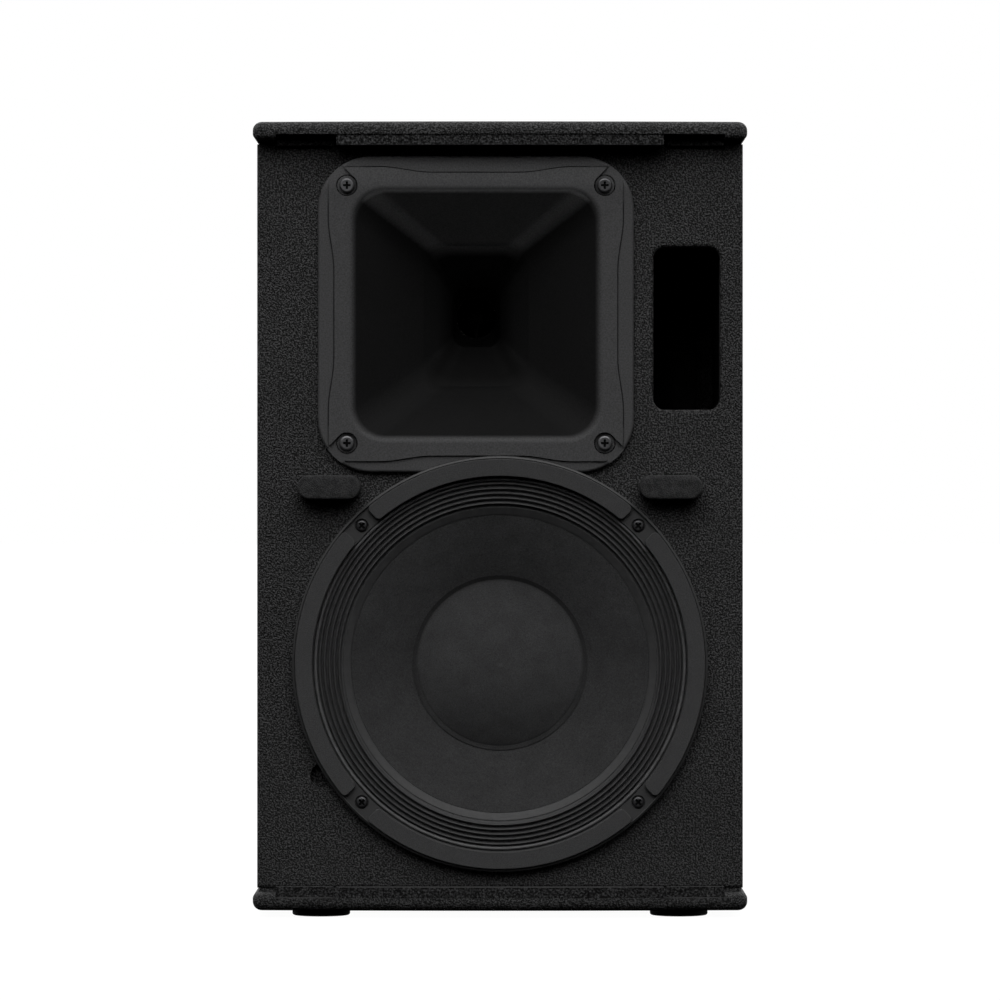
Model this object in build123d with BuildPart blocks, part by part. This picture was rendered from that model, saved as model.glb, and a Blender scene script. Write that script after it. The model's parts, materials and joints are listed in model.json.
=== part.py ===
"""Two-way powered loudspeaker cabinet: 10-inch woofer, square horn, slot port and rear amplifier.

Millimetres, +Z up. The baffle faces -Y and +X is to the right of a listener who looks at it.
The origin is on the ground under the middle of the overall box.
"""

from build123d import *
import math
import os

os.makedirs("parts", exist_ok=True)

# ---------------------------------------------------------------- driving dimensions

WIDTH = 306.5
HEIGHT = 493.0
DEPTH = 309.0

FOOT_HEIGHT = 4.5
FOOT_RADIUS = 18.0
FOOT_ROUND = 1.4

PLATE_THICKNESS = 10.9
PLATE_BOW = 6.0                 # the front edge bows forward by this much
PLATE_CORNER_RADIUS = 7.0
PLATE_BREAK_RADIUS = 18.0       # where the straight side meets the tapered side
PLATE_OUTER_ROUND = 5.4
PLATE_INNER_ROUND = 3.6
REBATE_HALF_WIDTH = 139.0       # shallow seat under the plate's lip for the grille rails
REBATE_DEPTH = 3.0

NECK_HEIGHT = 2.4               # shadow gap between a plate and the body
NECK_INSET = 1.3
BODY_INSET = 2.35               # body side inside the plate's side
BOARD = 12.0
BAFFLE_THICKNESS = 15.0
BAFFLE_SETBACK = 20.0           # baffle face behind the middle of the plates' front edge
REAR_SETBACK = 15.5
TAPER = math.radians(25.0)      # angle of the tapered sides to the straight ones
TAPER_START_Y = 0.0
BODY_EDGE_ROUND = 2.0

WOOFER_Z = 157.0
WOOFER_FRAME_RADIUS = 128.9
WOOFER_CUTOUT_RADIUS = 113.5
WOOFER_BOLT_RADIUS = 121.3
WOOFER_FLANGE = 5.0
WOOFER_GAP = 0.2                # between the woofer's frame and the horn's notched flange
GASKET_INNER_RADIUS = 116.5
GASKET_OUTER_RADIUS = 127.2
GASKET_THICKNESS = 3.4
GASKET_GAP_ANGLE = 9.0          # bare stretch of frame at each screw, in degrees
GASKET_CORNER_RADIUS = 3.0
GASKET_ROUND = 0.6
CONE_RADIUS = 97.7
CONE_DEPTH = 47.0
CONE_THICKNESS = 1.2
DUST_CAP_RADIUS = 52.0
DUST_CAP_HEIGHT = 17.0
CAP_FLANGE_RADIUS = 54.6        # outer edge of the flange by which the cap is glued to the cone
COIL_INNER_RADIUS = 25.4
COIL_OUTER_RADIUS = 26.8

HORN_X = -15.0
HORN_Z = 374.0
HORN_SIZE = 196.0
HORN_CORNER_RADIUS = 33.0
HORN_FLANGE = 4.5
HORN_PANEL = 1.2                # raised panel on the flange
HORN_SCREW_SPACING = 160.0
HORN_WALL = 2.5
HORN_MOUTH_ROUND = 5.0
THROAT_RADIUS = 12.7

PORT_X = 116.0
PORT_Z = 365.2
PORT_WIDTH = 41.2
PORT_HEIGHT = 100.8
PORT_CORNER_RADIUS = 7.0
PORT_LENGTH = 110.0
PORT_WALL = 2.0
PORT_ROUND = 2.5

RAIL_HALF_LENGTH = 101.3
RAIL_HEIGHT = 6.8
RAIL_DEPTH = 12.0
RAIL_SETBACK = 0.8              # behind the plate's front edge
BLOCK_INNER_X = 103.5
BLOCK_HEIGHT = 6.4
BLOCK_DEPTH = 5.0

PAD_LENGTH = 40.0
PAD_HEIGHT = 15.6
PAD_DEPTH = 16.0
PAD_Z = 266.5
PAD_X = 105.9

HANDLE_Y = -61.5
HANDLE_Z = 352.0
HANDLE_LENGTH = 95.0
HANDLE_HEIGHT = 82.0
HANDLE_POCKET = 35.0
HANDLE_WALL = 2.5
HANDLE_RIM = 9.0
HANDLE_RIM_THICKNESS = 4.0
HANDLE_CORNER_RADIUS = 10.0
HANDLE_EDGE_ROUND = 1.5

POLE_SOCKET_Y = 16.0
POLE_RADIUS = 17.75
POLE_DEPTH = 75.0
POLE_WALL = 2.75
POLE_FLANGE_RADIUS = 34.0
POLE_FLANGE = 3.0
POLE_SCREW_RADIUS = 28.0

# Screws: head radius, head height, shank radius and length under the head.
HORN_SCREW = (4.7, 2.2, 2.0, 16.0)
WOOFER_SCREW = (3.6, 2.4, 2.2, 18.0)
FOOT_SCREW = (4.0, 1.7, 2.0, 11.0)
POLE_SCREW = (3.4, 1.5, 1.8, 12.0)
PANEL_SCREW = (3.4, 2.0, 1.8, 11.0)
SMALL_SCREW = (2.9, 1.8, 1.5, 8.0)
SCREW_CLEARANCE = 0.4           # around a head in its recess
WOOFER_SCREW_CLEARANCE = 0.8
WOOFER_SCREW_SINK = 1.8

INSERT_X = 55.0
INSERT_Y = 45.0
INSERT_RADIUS = 6.5
INSERT_LENGTH = 22.0
THREAD_RADIUS = 3.4             # tapped M8

AMP_WIDTH = 150.0
AMP_HEIGHT = 400.0
AMP_Z = 250.0
AMP_PANEL = 2.5
AMP_PANEL_RADIUS = 5.0
AMP_CUTOUT_WIDTH = 126.0
AMP_CUTOUT_HEIGHT = 372.0
AMP_CUTOUT_RADIUS = 4.0
AMP_COVER_DEPTH = 55.0
AMP_COVER_GAP = 2.0
AMP_COVER_WALL = 1.5
AMP_SCREW_X = 69.5
AMP_SCREW_SPACING = 95.0

HEAT_SINK_WIDTH = 104.0
HEAT_SINK_HEIGHT = 108.0
HEAT_SINK_Z = 384.0
HEAT_SINK_BASE = 3.0
FIN_COUNT = 14
FIN_HEIGHT = 9.0
FIN_THICKNESS = 2.0
FIN_TIP_ROUND = 0.7

CONNECTOR_X = 34.0
CONNECTOR_Z = 232.0
LINK_Z = 182.0
CONNECTOR_BODY_RADIUS = 11.6
CONNECTOR_CLEARANCE = 0.2
CONNECTOR_LENGTH = 27.0
CONNECTOR_CAVITY_RADIUS = 9.8
KNOB_Z = 284.0
KNOB_RADIUS = 7.5
KNOB_HEIGHT = 11.4
KNOB_GAP = 0.6
KNOB_SHAFT_RADIUS = 3.0
LIGHT_Z = 312.0
LIGHT_RADIUS = 2.0
LIGHT_PROUD = 1.2
INLET_Z = 96.0
INLET_X = 14.0
ROCKER_X = -21.0
ROCKER_REST_ANGLE = 8.0
MODULE_WIDTH = 68.0
MODULE_HEIGHT = 34.0
MODULE_BEZEL = 3.0

# ---------------------------------------------------------------- derived places

FRONT_Y = -DEPTH / 2
REAR_Y = DEPTH / 2
PLATE_SIDE_FRONT_Y = FRONT_Y + PLATE_BOW
BAFFLE_Y = FRONT_Y + BAFFLE_SETBACK
BAFFLE_BACK_Y = BAFFLE_Y + BAFFLE_THICKNESS
BODY_REAR_Y = REAR_Y - REAR_SETBACK
REAR_PANEL_FRONT_Y = BODY_REAR_Y - BOARD
PLATE_INNER_Z = HEIGHT - PLATE_THICKNESS
BODY_TOP_Z = PLATE_INNER_Z - NECK_HEIGHT
BODY_BOTTOM_Z = FOOT_HEIGHT + PLATE_THICKNESS + NECK_HEIGHT
BODY_MIDDLE_Z = (BODY_TOP_Z + BODY_BOTTOM_Z) / 2
INNER_INSET = BODY_INSET + BOARD
AMP_FACE_Y = BODY_REAR_Y + AMP_PANEL
MIRROR_PLANE = Plane.XY.offset(BODY_MIDDLE_Z)
FROM_BELOW = (Align.CENTER, Align.CENTER, Align.MIN)
FROM_ABOVE = (Align.CENTER, Align.CENTER, Align.MAX)


def half_width(y, inset):
    """Half the plan width at y of the plates' outline moved inwards by inset."""
    straight = WIDTH / 2 - inset
    tapered = WIDTH / 2 - (y - TAPER_START_Y) * math.tan(TAPER) - inset / math.cos(TAPER)
    return min(straight, tapered)


def break_y(inset):
    """Depth at which the straight side turns into the tapered side."""
    return TAPER_START_Y - inset * math.tan(TAPER / 2)


def bow_y(x):
    """Depth of the plates' bowed front edge at x, on its circular arc."""
    radius = ((WIDTH / 2) ** 2 + PLATE_BOW**2) / (2 * PLATE_BOW)
    return FRONT_Y + radius - math.sqrt(radius**2 - x**2)


def front_plane(y, x=0.0, z=0.0):
    """Plane that faces the listener: local x is +X, local y is +Z, the normal is -Y."""
    return Plane(origin=(x, y, z), x_dir=(1, 0, 0), z_dir=(0, -1, 0))


def rear_plane(y, x=0.0, z=0.0):
    """Plane that faces backwards: local x is -X, local y is +Z, the normal is +Y."""
    return Plane(origin=(x, y, z), x_dir=(-1, 0, 0), z_dir=(0, 1, 0))


def left_plane(x, y, z):
    """Plane that faces -X: local x is -Y, local y is +Z."""
    return Plane(origin=(x, y, z), x_dir=(0, -1, 0), z_dir=(-1, 0, 0))


def outline_at(points, plane):
    """Flat face with straight sides through the points, on a plane."""
    with BuildSketch(plane) as outline:
        with BuildLine():
            Polyline(*points, close=True)
        make_face()
    return outline.sketch


def plan_board(points, bottom_z, top_z):
    """Upright board that stands on a plan outline."""
    extrude(outline_at(points, Plane.XY.offset(bottom_z)), amount=top_z - bottom_z)


def turned(points, x, z, mode=Mode.ADD):
    """Turn an outline of (radius, y) points about the fore-and-aft axis at (x, z)."""
    outline = outline_at(points, Plane(origin=(x, 0, z)))
    revolve(outline, axis=Axis((x, 0, z), (0, 1, 0)), mode=mode)


def ring(inner_radius, outer_radius, front_y, rear_y, x, z):
    """Flat ring about the fore-and-aft axis at (x, z), between two depths."""
    corners = [
        (inner_radius, front_y),
        (outer_radius, front_y),
        (outer_radius, rear_y),
        (inner_radius, rear_y),
    ]
    turned(corners, x, z)


def dome(rim_radius, rim_y, top_y, thickness, x, z, foot=()):
    """Spherical shell about the fore-and-aft axis at (x, z), thickened towards its hollow side.

    The points of its foot lead the outline from the outer rim round to the inner one.
    """
    inwards = math.copysign(1, rim_y - top_y)
    height = abs(rim_y - top_y)
    outer_radius = (rim_radius**2 + height**2) / (2 * height)
    inner_radius = outer_radius - thickness
    inner_rim = rim_radius - thickness
    centre_y = top_y + inwards * outer_radius

    def sphere_point(radius, sphere_radius):
        return (radius, centre_y - inwards * math.sqrt(sphere_radius**2 - radius**2))

    with BuildSketch(Plane(origin=(x, 0, z))) as section:
        with BuildLine():
            outer_arc = [sphere_point(share * rim_radius, outer_radius) for share in (0, 0.5, 1)]
            inner_arc = [sphere_point(share * inner_rim, inner_radius) for share in (1, 0.5, 0)]
            ThreePointArc(*outer_arc)
            Polyline(outer_arc[2], *foot, inner_arc[0])
            ThreePointArc(*inner_arc)
            Line(inner_arc[2], outer_arc[0])
        make_face()
    revolve(section.sketch, axis=Axis((x, 0, z), (0, 1, 0)))


def rounded_rectangle_at(plane, width, height, radius):
    """Rectangle with rounded corners on a plane."""
    with BuildSketch(plane) as outline:
        RectangleRounded(width, height, radius)
    return outline.sketch


def plan_outline(inset, front_y, rear_y):
    """Plan points of the whole body outline, inset from the plates' sides, between two depths."""
    right_side = [
        (half_width(front_y, inset), front_y),
        (half_width(front_y, inset), break_y(inset)),
        (half_width(rear_y, inset), rear_y),
    ]
    return right_side + [(-x, y) for x, y in reversed(right_side)]


LARGEST_RECESS = 4.8            # across the arms of a number 2 cross


class CrossHeadScrew(BasePartObject):
    """Pan-head screw with a cross recess. The head stands on z = 0 and the shank hangs below."""

    def __init__(self, head_radius, head_height, shank_radius, length, mode=Mode.ADD):
        recess_length = min(LARGEST_RECESS, 1.3 * head_radius)
        recess_width = 0.3 * recess_length
        recess_depth = 0.6 * head_height
        with BuildPart() as screw:
            Cylinder(head_radius, head_height, align=FROM_BELOW)
            fillet(screw.edges().sort_by(Axis.Z)[-1], radius=0.6 * head_height)
            with Locations((0, 0, head_height)):
                for turn in (0, 90):
                    Box(
                        recess_length,
                        recess_width,
                        2 * recess_depth,
                        rotation=(0, 0, turn),
                        mode=Mode.SUBTRACT,
                    )
            Cylinder(shank_radius, length, align=FROM_ABOVE)
        super().__init__(part=screw.part, mode=mode)


# ---------------------------------------------------------------- fasteners and inserts

HORN_SCREW_SINK = 1.0           # pocket floor below the flange's rim
HORN_SEAT_Y = BAFFLE_Y - HORN_FLANGE + HORN_SCREW_SINK
with BuildPart(front_plane(HORN_SEAT_Y, HORN_X, HORN_Z)) as horn_screws:
    with GridLocations(HORN_SCREW_SPACING, HORN_SCREW_SPACING, 2, 2):
        CrossHeadScrew(*HORN_SCREW)

WOOFER_SEAT_Y = BAFFLE_Y - WOOFER_FLANGE + WOOFER_SCREW_SINK
with BuildPart(front_plane(WOOFER_SEAT_Y, 0, WOOFER_Z)) as woofer_screws:
    with PolarLocations(WOOFER_BOLT_RADIUS, 4, start_angle=45):
        CrossHeadScrew(*WOOFER_SCREW)

FOOT_PLACES = [(111.5, -118.0), (-111.5, -118.0), (66.0, 124.0), (-66.0, 124.0)]
FOOT_SCREW_Z = 2.6
with BuildPart(Plane.XY.offset(FOOT_SCREW_Z)) as foot_screws:
    with Locations(*FOOT_PLACES):
        with Locations(Location((0, 0, 0), (180, 0, 0))):
            CrossHeadScrew(*FOOT_SCREW)

POLE_SCREW_SINK = 1.6
POLE_SCREW_Z = FOOT_HEIGHT + POLE_SCREW_SINK
pole_screw_plane = Plane(origin=(0, POLE_SOCKET_Y, POLE_SCREW_Z), z_dir=(0, 0, -1))
with BuildPart(pole_screw_plane) as pole_socket_screws:
    with PolarLocations(POLE_SCREW_RADIUS, 4, start_angle=45):
        CrossHeadScrew(*POLE_SCREW)

BODY_SIDE_X = WIDTH / 2 - BODY_INSET
HANDLE_SCREW_SINK = 2.2
HANDLE_SCREW_SPACING = (HANDLE_LENGTH + HANDLE_RIM, HANDLE_HEIGHT + HANDLE_RIM)
handle_screw_plane = left_plane(-BODY_SIDE_X + HANDLE_SCREW_SINK, HANDLE_Y, HANDLE_Z)
with BuildPart(handle_screw_plane) as handle_screws:
    with GridLocations(*HANDLE_SCREW_SPACING, 2, 2):
        CrossHeadScrew(*SMALL_SCREW)

with BuildPart(rear_plane(AMP_FACE_Y, 0, AMP_Z)) as amplifier_screws:
    with GridLocations(2 * AMP_SCREW_X, AMP_SCREW_SPACING, 2, 5):
        CrossHeadScrew(*PANEL_SCREW)

with BuildPart() as rigging_inserts:
    with BuildSketch(Plane.XY.offset(HEIGHT)):
        with Locations((INSERT_X, INSERT_Y), (-INSERT_X, INSERT_Y)):
            Circle(INSERT_RADIUS)
            Circle(THREAD_RADIUS, mode=Mode.SUBTRACT)
    extrude(amount=-INSERT_LENGTH)
    mirror(about=MIRROR_PLANE)

# ---------------------------------------------------------------- end plates

with BuildPart() as plate_blank:
    with BuildSketch(Plane.XY.offset(PLATE_INNER_Z)) as plate_outline:
        with BuildLine():
            side_front = (WIDTH / 2, PLATE_SIDE_FRONT_Y)
            side_break = (WIDTH / 2, TAPER_START_Y)
            rear_corner = (half_width(REAR_Y, 0), REAR_Y)
            right_side = [side_front, side_break, rear_corner]
            left_side = [(-x, y) for x, y in reversed(right_side)]
            ThreePointArc(left_side[-1], (0, FRONT_Y), side_front)
            Polyline(*right_side, *left_side)
        make_face()
        breaks = plate_outline.vertices().filter_by(lambda v: abs(v.Y - TAPER_START_Y) < 1)
        fillet(breaks, radius=PLATE_BREAK_RADIUS)
        corners = plate_outline.vertices().filter_by(lambda v: abs(v.Y) > DEPTH / 3)
        fillet(corners, radius=PLATE_CORNER_RADIUS)
    extrude(amount=PLATE_THICKNESS)
    fillet(plate_blank.faces().sort_by(Axis.Z)[-1].edges(), radius=PLATE_OUTER_ROUND)
    fillet(plate_blank.faces().sort_by(Axis.Z)[0].edges(), radius=PLATE_INNER_ROUND)
    with BuildSketch(Plane.XY.offset(PLATE_INNER_Z)):
        with Locations((0, BAFFLE_Y)):
            Rectangle(2 * REBATE_HALF_WIDTH, 2 * BAFFLE_SETBACK, align=(Align.CENTER, Align.MAX))
    extrude(amount=REBATE_DEPTH, mode=Mode.SUBTRACT)
    neck_front_y = BAFFLE_Y + NECK_INSET
    neck_rear_y = BODY_REAR_Y - NECK_INSET
    neck_outline = plan_outline(BODY_INSET + NECK_INSET, neck_front_y, neck_rear_y)
    plan_board(neck_outline, BODY_TOP_Z, PLATE_INNER_Z)

with BuildPart() as top_plate:
    add(plate_blank.part)
    for side in (-1, 1):
        with Locations((side * INSERT_X, INSERT_Y, HEIGHT)):
            Cylinder(INSERT_RADIUS, INSERT_LENGTH, align=FROM_ABOVE, mode=Mode.SUBTRACT)

with BuildPart() as bottom_plate:
    mirror(plate_blank.part, about=MIRROR_PLANE)
    for side in (-1, 1):
        with Locations((side * INSERT_X, INSERT_Y, FOOT_HEIGHT)):
            Cylinder(INSERT_RADIUS, INSERT_LENGTH, align=FROM_BELOW, mode=Mode.SUBTRACT)
    with Locations((0, POLE_SOCKET_Y, FOOT_HEIGHT)):
        Cylinder(POLE_FLANGE_RADIUS, POLE_FLANGE, align=FROM_BELOW, mode=Mode.SUBTRACT)
        Cylinder(POLE_RADIUS + POLE_WALL, POLE_DEPTH, align=FROM_BELOW, mode=Mode.SUBTRACT)
    add(foot_screws.part, mode=Mode.SUBTRACT)
    add(pole_socket_screws.part, mode=Mode.SUBTRACT)

# ---------------------------------------------------------------- body boards

with BuildPart() as right_side_panel:
    side_points = [
        (BODY_SIDE_X, BAFFLE_BACK_Y),
        (BODY_SIDE_X, break_y(BODY_INSET)),
        (BODY_SIDE_X - BOARD, break_y(INNER_INSET)),
        (BODY_SIDE_X - BOARD, BAFFLE_BACK_Y),
    ]
    plan_board(side_points, BODY_BOTTOM_Z, BODY_TOP_Z)

with BuildPart() as left_side_panel:
    mirror(right_side_panel.part, about=Plane.YZ)
    handle_plane = left_plane(-BODY_SIDE_X, HANDLE_Y, HANDLE_Z)
    handle_rim_size = (HANDLE_LENGTH + 2 * HANDLE_RIM, HANDLE_HEIGHT + 2 * HANDLE_RIM)
    handle_cup_size = (HANDLE_LENGTH + 2 * HANDLE_WALL, HANDLE_HEIGHT + 2 * HANDLE_WALL)
    rim_outline = rounded_rectangle_at(handle_plane, *handle_rim_size, HANDLE_CORNER_RADIUS + 4.0)
    cup_outline = rounded_rectangle_at(handle_plane, *handle_cup_size, HANDLE_CORNER_RADIUS + 2.0)
    extrude(rim_outline, amount=-HANDLE_RIM_THICKNESS, mode=Mode.SUBTRACT)
    extrude(cup_outline, amount=-BOARD, mode=Mode.SUBTRACT)
    add(handle_screws.part, mode=Mode.SUBTRACT)

with BuildPart() as right_taper_panel:
    taper_points = [
        (BODY_SIDE_X, break_y(BODY_INSET)),
        (half_width(REAR_PANEL_FRONT_Y, BODY_INSET), REAR_PANEL_FRONT_Y),
        (half_width(REAR_PANEL_FRONT_Y, INNER_INSET), REAR_PANEL_FRONT_Y),
        (BODY_SIDE_X - BOARD, break_y(INNER_INSET)),
    ]
    plan_board(taper_points, BODY_BOTTOM_Z, BODY_TOP_Z)

with BuildPart() as left_taper_panel:
    mirror(right_taper_panel.part, about=Plane.YZ)

with BuildPart() as rear_panel:
    rear_points = [
        (half_width(REAR_PANEL_FRONT_Y, BODY_INSET), REAR_PANEL_FRONT_Y),
        (half_width(BODY_REAR_Y, BODY_INSET), BODY_REAR_Y),
        (-half_width(BODY_REAR_Y, BODY_INSET), BODY_REAR_Y),
        (-half_width(REAR_PANEL_FRONT_Y, BODY_INSET), REAR_PANEL_FRONT_Y),
    ]
    plan_board(rear_points, BODY_BOTTOM_Z, BODY_TOP_Z)
    amp_cutout = rounded_rectangle_at(
        rear_plane(BODY_REAR_Y, 0, AMP_Z), AMP_CUTOUT_WIDTH, AMP_CUTOUT_HEIGHT, AMP_CUTOUT_RADIUS
    )
    extrude(amp_cutout, amount=-BOARD, mode=Mode.SUBTRACT)
    add(amplifier_screws.part, mode=Mode.SUBTRACT)

inner_outline = plan_outline(INNER_INSET, BAFFLE_BACK_Y, REAR_PANEL_FRONT_Y)
with BuildPart() as inner_top_panel:
    plan_board(inner_outline, BODY_TOP_Z - BOARD, BODY_TOP_Z)
    for side in (-1, 1):
        with Locations((side * INSERT_X, INSERT_Y, HEIGHT)):
            Cylinder(INSERT_RADIUS, INSERT_LENGTH, align=FROM_ABOVE, mode=Mode.SUBTRACT)

with BuildPart() as inner_bottom_panel:
    plan_board(inner_outline, BODY_BOTTOM_Z, BODY_BOTTOM_Z + BOARD)
    for side in (-1, 1):
        with Locations((side * INSERT_X, INSERT_Y, FOOT_HEIGHT)):
            Cylinder(INSERT_RADIUS, INSERT_LENGTH, align=FROM_BELOW, mode=Mode.SUBTRACT)
    with Locations((0, POLE_SOCKET_Y, FOOT_HEIGHT)):
        Cylinder(POLE_RADIUS + POLE_WALL, POLE_DEPTH, align=FROM_BELOW, mode=Mode.SUBTRACT)
    add(pole_socket_screws.part, mode=Mode.SUBTRACT)

# Cross board between the woofer and the horn, glued to the baffle and both sides.
BRACE_BOTTOM_Z = 278.0
BRACE_DEPTH = 70.0
with BuildPart() as middle_brace:
    brace_outline = plan_outline(INNER_INSET, BAFFLE_BACK_Y, BAFFLE_BACK_Y + BRACE_DEPTH)
    plan_board(brace_outline, BRACE_BOTTOM_Z, BRACE_BOTTOM_Z + BOARD)

POCKET_X = -110.5
POCKET_Z = 87.4
POCKET_RADIUS = 7.5
POCKET_DEPTH = 6.0
HORN_CUTOUT = 164.0
HORN_CUTOUT_RADIUS = 22.0
with BuildPart() as front_baffle:
    with BuildSketch(front_plane(BAFFLE_BACK_Y, 0, BODY_MIDDLE_Z)):
        Rectangle(2 * BODY_SIDE_X, BODY_TOP_Z - BODY_BOTTOM_Z)
    extrude(amount=BAFFLE_THICKNESS)
    fillet(front_baffle.faces().sort_by(Axis.Y)[0].edges(), radius=BODY_EDGE_ROUND)
    port_outline = rounded_rectangle_at(
        front_plane(BAFFLE_Y, PORT_X, PORT_Z), PORT_WIDTH, PORT_HEIGHT, PORT_CORNER_RADIUS
    )
    extrude(port_outline, amount=-BAFFLE_THICKNESS, mode=Mode.SUBTRACT)
    front_edges = front_baffle.faces().sort_by(Axis.Y)[0].inner_wires()[0].edges()
    fillet(front_edges, radius=PORT_ROUND)
    with BuildSketch(front_plane(BAFFLE_Y, 0, WOOFER_Z)):
        Circle(WOOFER_CUTOUT_RADIUS)
    extrude(amount=-BAFFLE_THICKNESS, mode=Mode.SUBTRACT)
    horn_cutout = rounded_rectangle_at(
        front_plane(BAFFLE_Y, HORN_X, HORN_Z), HORN_CUTOUT, HORN_CUTOUT, HORN_CUTOUT_RADIUS
    )
    extrude(horn_cutout, amount=-BAFFLE_THICKNESS, mode=Mode.SUBTRACT)
    with BuildSketch(front_plane(BAFFLE_Y, POCKET_X, POCKET_Z)):
        Circle(POCKET_RADIUS)
    extrude(amount=-POCKET_DEPTH, mode=Mode.SUBTRACT)
    add(horn_screws.part, mode=Mode.SUBTRACT)
    add(woofer_screws.part, mode=Mode.SUBTRACT)

with BuildPart() as port_duct:
    duct_plane = front_plane(BAFFLE_BACK_Y, PORT_X, PORT_Z)
    outer_width = PORT_WIDTH + 2 * PORT_WALL
    outer_height = PORT_HEIGHT + 2 * PORT_WALL
    outer_radius = PORT_CORNER_RADIUS + PORT_WALL
    duct_outer = rounded_rectangle_at(duct_plane, outer_width, outer_height, outer_radius)
    duct_inner = rounded_rectangle_at(duct_plane, PORT_WIDTH, PORT_HEIGHT, PORT_CORNER_RADIUS)
    extrude(duct_outer, amount=-PORT_LENGTH)
    extrude(duct_inner, amount=-PORT_LENGTH, mode=Mode.SUBTRACT)

# ---------------------------------------------------------------- grille rails, blocks and pads

REBATE_TOP_Z = PLATE_INNER_Z + REBATE_DEPTH
with BuildPart() as grille_rails:
    rail_right_end = (RAIL_HALF_LENGTH, bow_y(RAIL_HALF_LENGTH) + RAIL_SETBACK)
    rail_left_end = (-RAIL_HALF_LENGTH, bow_y(RAIL_HALF_LENGTH) + RAIL_SETBACK)
    with BuildSketch(Plane.XY.offset(REBATE_TOP_Z)):
        with BuildLine():
            ThreePointArc(rail_left_end, (0, FRONT_Y + RAIL_SETBACK), rail_right_end)
            Polyline(
                rail_right_end,
                (RAIL_HALF_LENGTH, FRONT_Y + RAIL_DEPTH),
                (-RAIL_HALF_LENGTH, FRONT_Y + RAIL_DEPTH),
                rail_left_end,
            )
        make_face()
    extrude(amount=-RAIL_HEIGHT)
    mirror(about=MIRROR_PLANE)

with BuildPart() as grille_blocks:
    for side in (-1, 1):
        block_x = side * (BLOCK_INNER_X + REBATE_HALF_WIDTH) / 2
        with Locations((block_x, BAFFLE_Y, REBATE_TOP_Z)):
            Box(
                REBATE_HALF_WIDTH - BLOCK_INNER_X,
                BLOCK_DEPTH,
                BLOCK_HEIGHT,
                align=(Align.CENTER, Align.MAX, Align.MAX),
            )
    mirror(about=MIRROR_PLANE)


def grille_pad_outline(x):
    """Foam pad's outline: a bar with round ends."""
    with BuildSketch(front_plane(BAFFLE_Y, x, PAD_Z)) as outline:
        SlotOverall(PAD_LENGTH, PAD_HEIGHT)
    return outline.sketch


with BuildPart() as left_grille_pad:
    extrude(grille_pad_outline(-PAD_X), amount=PAD_DEPTH)

with BuildPart() as right_grille_pad:
    extrude(grille_pad_outline(PAD_X), amount=PAD_DEPTH)

# ---------------------------------------------------------------- feet, pole socket, handle

with BuildPart() as rubber_feet:
    with Locations(*FOOT_PLACES):
        Cylinder(FOOT_RADIUS, FOOT_HEIGHT, align=FROM_BELOW)
    fillet(rubber_feet.edges().group_by(Axis.Z)[0], radius=FOOT_ROUND)
    with Locations(*FOOT_PLACES):
        recess_radius = FOOT_SCREW[0] + SCREW_CLEARANCE
        Cylinder(recess_radius, FOOT_SCREW_Z, align=FROM_BELOW, mode=Mode.SUBTRACT)
    add(foot_screws.part, mode=Mode.SUBTRACT)

with BuildPart() as pole_socket:
    with Locations((0, POLE_SOCKET_Y, FOOT_HEIGHT)):
        Cylinder(POLE_FLANGE_RADIUS, POLE_FLANGE, align=FROM_BELOW)
        Cylinder(POLE_RADIUS + POLE_WALL, POLE_DEPTH + POLE_WALL, align=FROM_BELOW)
        Cylinder(POLE_RADIUS, POLE_DEPTH, align=FROM_BELOW, mode=Mode.SUBTRACT)
    with Locations((0, POLE_SOCKET_Y, FOOT_HEIGHT)):
        with PolarLocations(POLE_SCREW_RADIUS, 4, start_angle=45):
            recess_radius = POLE_SCREW[0] + SCREW_CLEARANCE
            Cylinder(recess_radius, POLE_SCREW_SINK, align=FROM_BELOW, mode=Mode.SUBTRACT)
    add(pole_socket_screws.part, mode=Mode.SUBTRACT)

GRIP_HEIGHT = 20.0
GRIP_THICKNESS = 13.0
GRIP_OFFSET = 20.0              # grip's middle above the pocket's middle
GRIP_SETBACK = 1.0
GRIP_ROUND = 5.0
grip_plane = left_plane(-BODY_SIDE_X + GRIP_SETBACK, HANDLE_Y, HANDLE_Z + GRIP_OFFSET)
with BuildPart(grip_plane) as handle_grip:
    Box(HANDLE_LENGTH + HANDLE_WALL, GRIP_HEIGHT, GRIP_THICKNESS, align=FROM_ABOVE)
    fillet(handle_grip.edges().filter_by(Axis.Y), radius=GRIP_ROUND)

with BuildPart() as side_handle:
    extrude(rim_outline, amount=-HANDLE_RIM_THICKNESS)
    extrude(cup_outline, amount=-(HANDLE_POCKET + HANDLE_WALL))
    pocket_size = (HANDLE_LENGTH, HANDLE_HEIGHT)
    pocket_outline = rounded_rectangle_at(handle_plane, *pocket_size, HANDLE_CORNER_RADIUS)
    extrude(pocket_outline, amount=-HANDLE_POCKET, mode=Mode.SUBTRACT)
    pocket_rim = side_handle.faces().sort_by(Axis.X)[0].inner_wires()[0].edges()
    fillet(pocket_rim, radius=HANDLE_EDGE_ROUND)
    add(handle_grip.part)
    with BuildSketch(handle_plane):
        with GridLocations(*HANDLE_SCREW_SPACING, 2, 2):
            Circle(SMALL_SCREW[0] + SCREW_CLEARANCE)
    extrude(amount=-HANDLE_SCREW_SINK, mode=Mode.SUBTRACT)
    add(handle_screws.part, mode=Mode.SUBTRACT)

# ---------------------------------------------------------------- horn

HORN_FACE_Y = BAFFLE_Y - HORN_FLANGE - HORN_PANEL
HORN_RIM_Y = BAFFLE_Y - HORN_FLANGE
HORN_REAR_Y = -54.0
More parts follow.
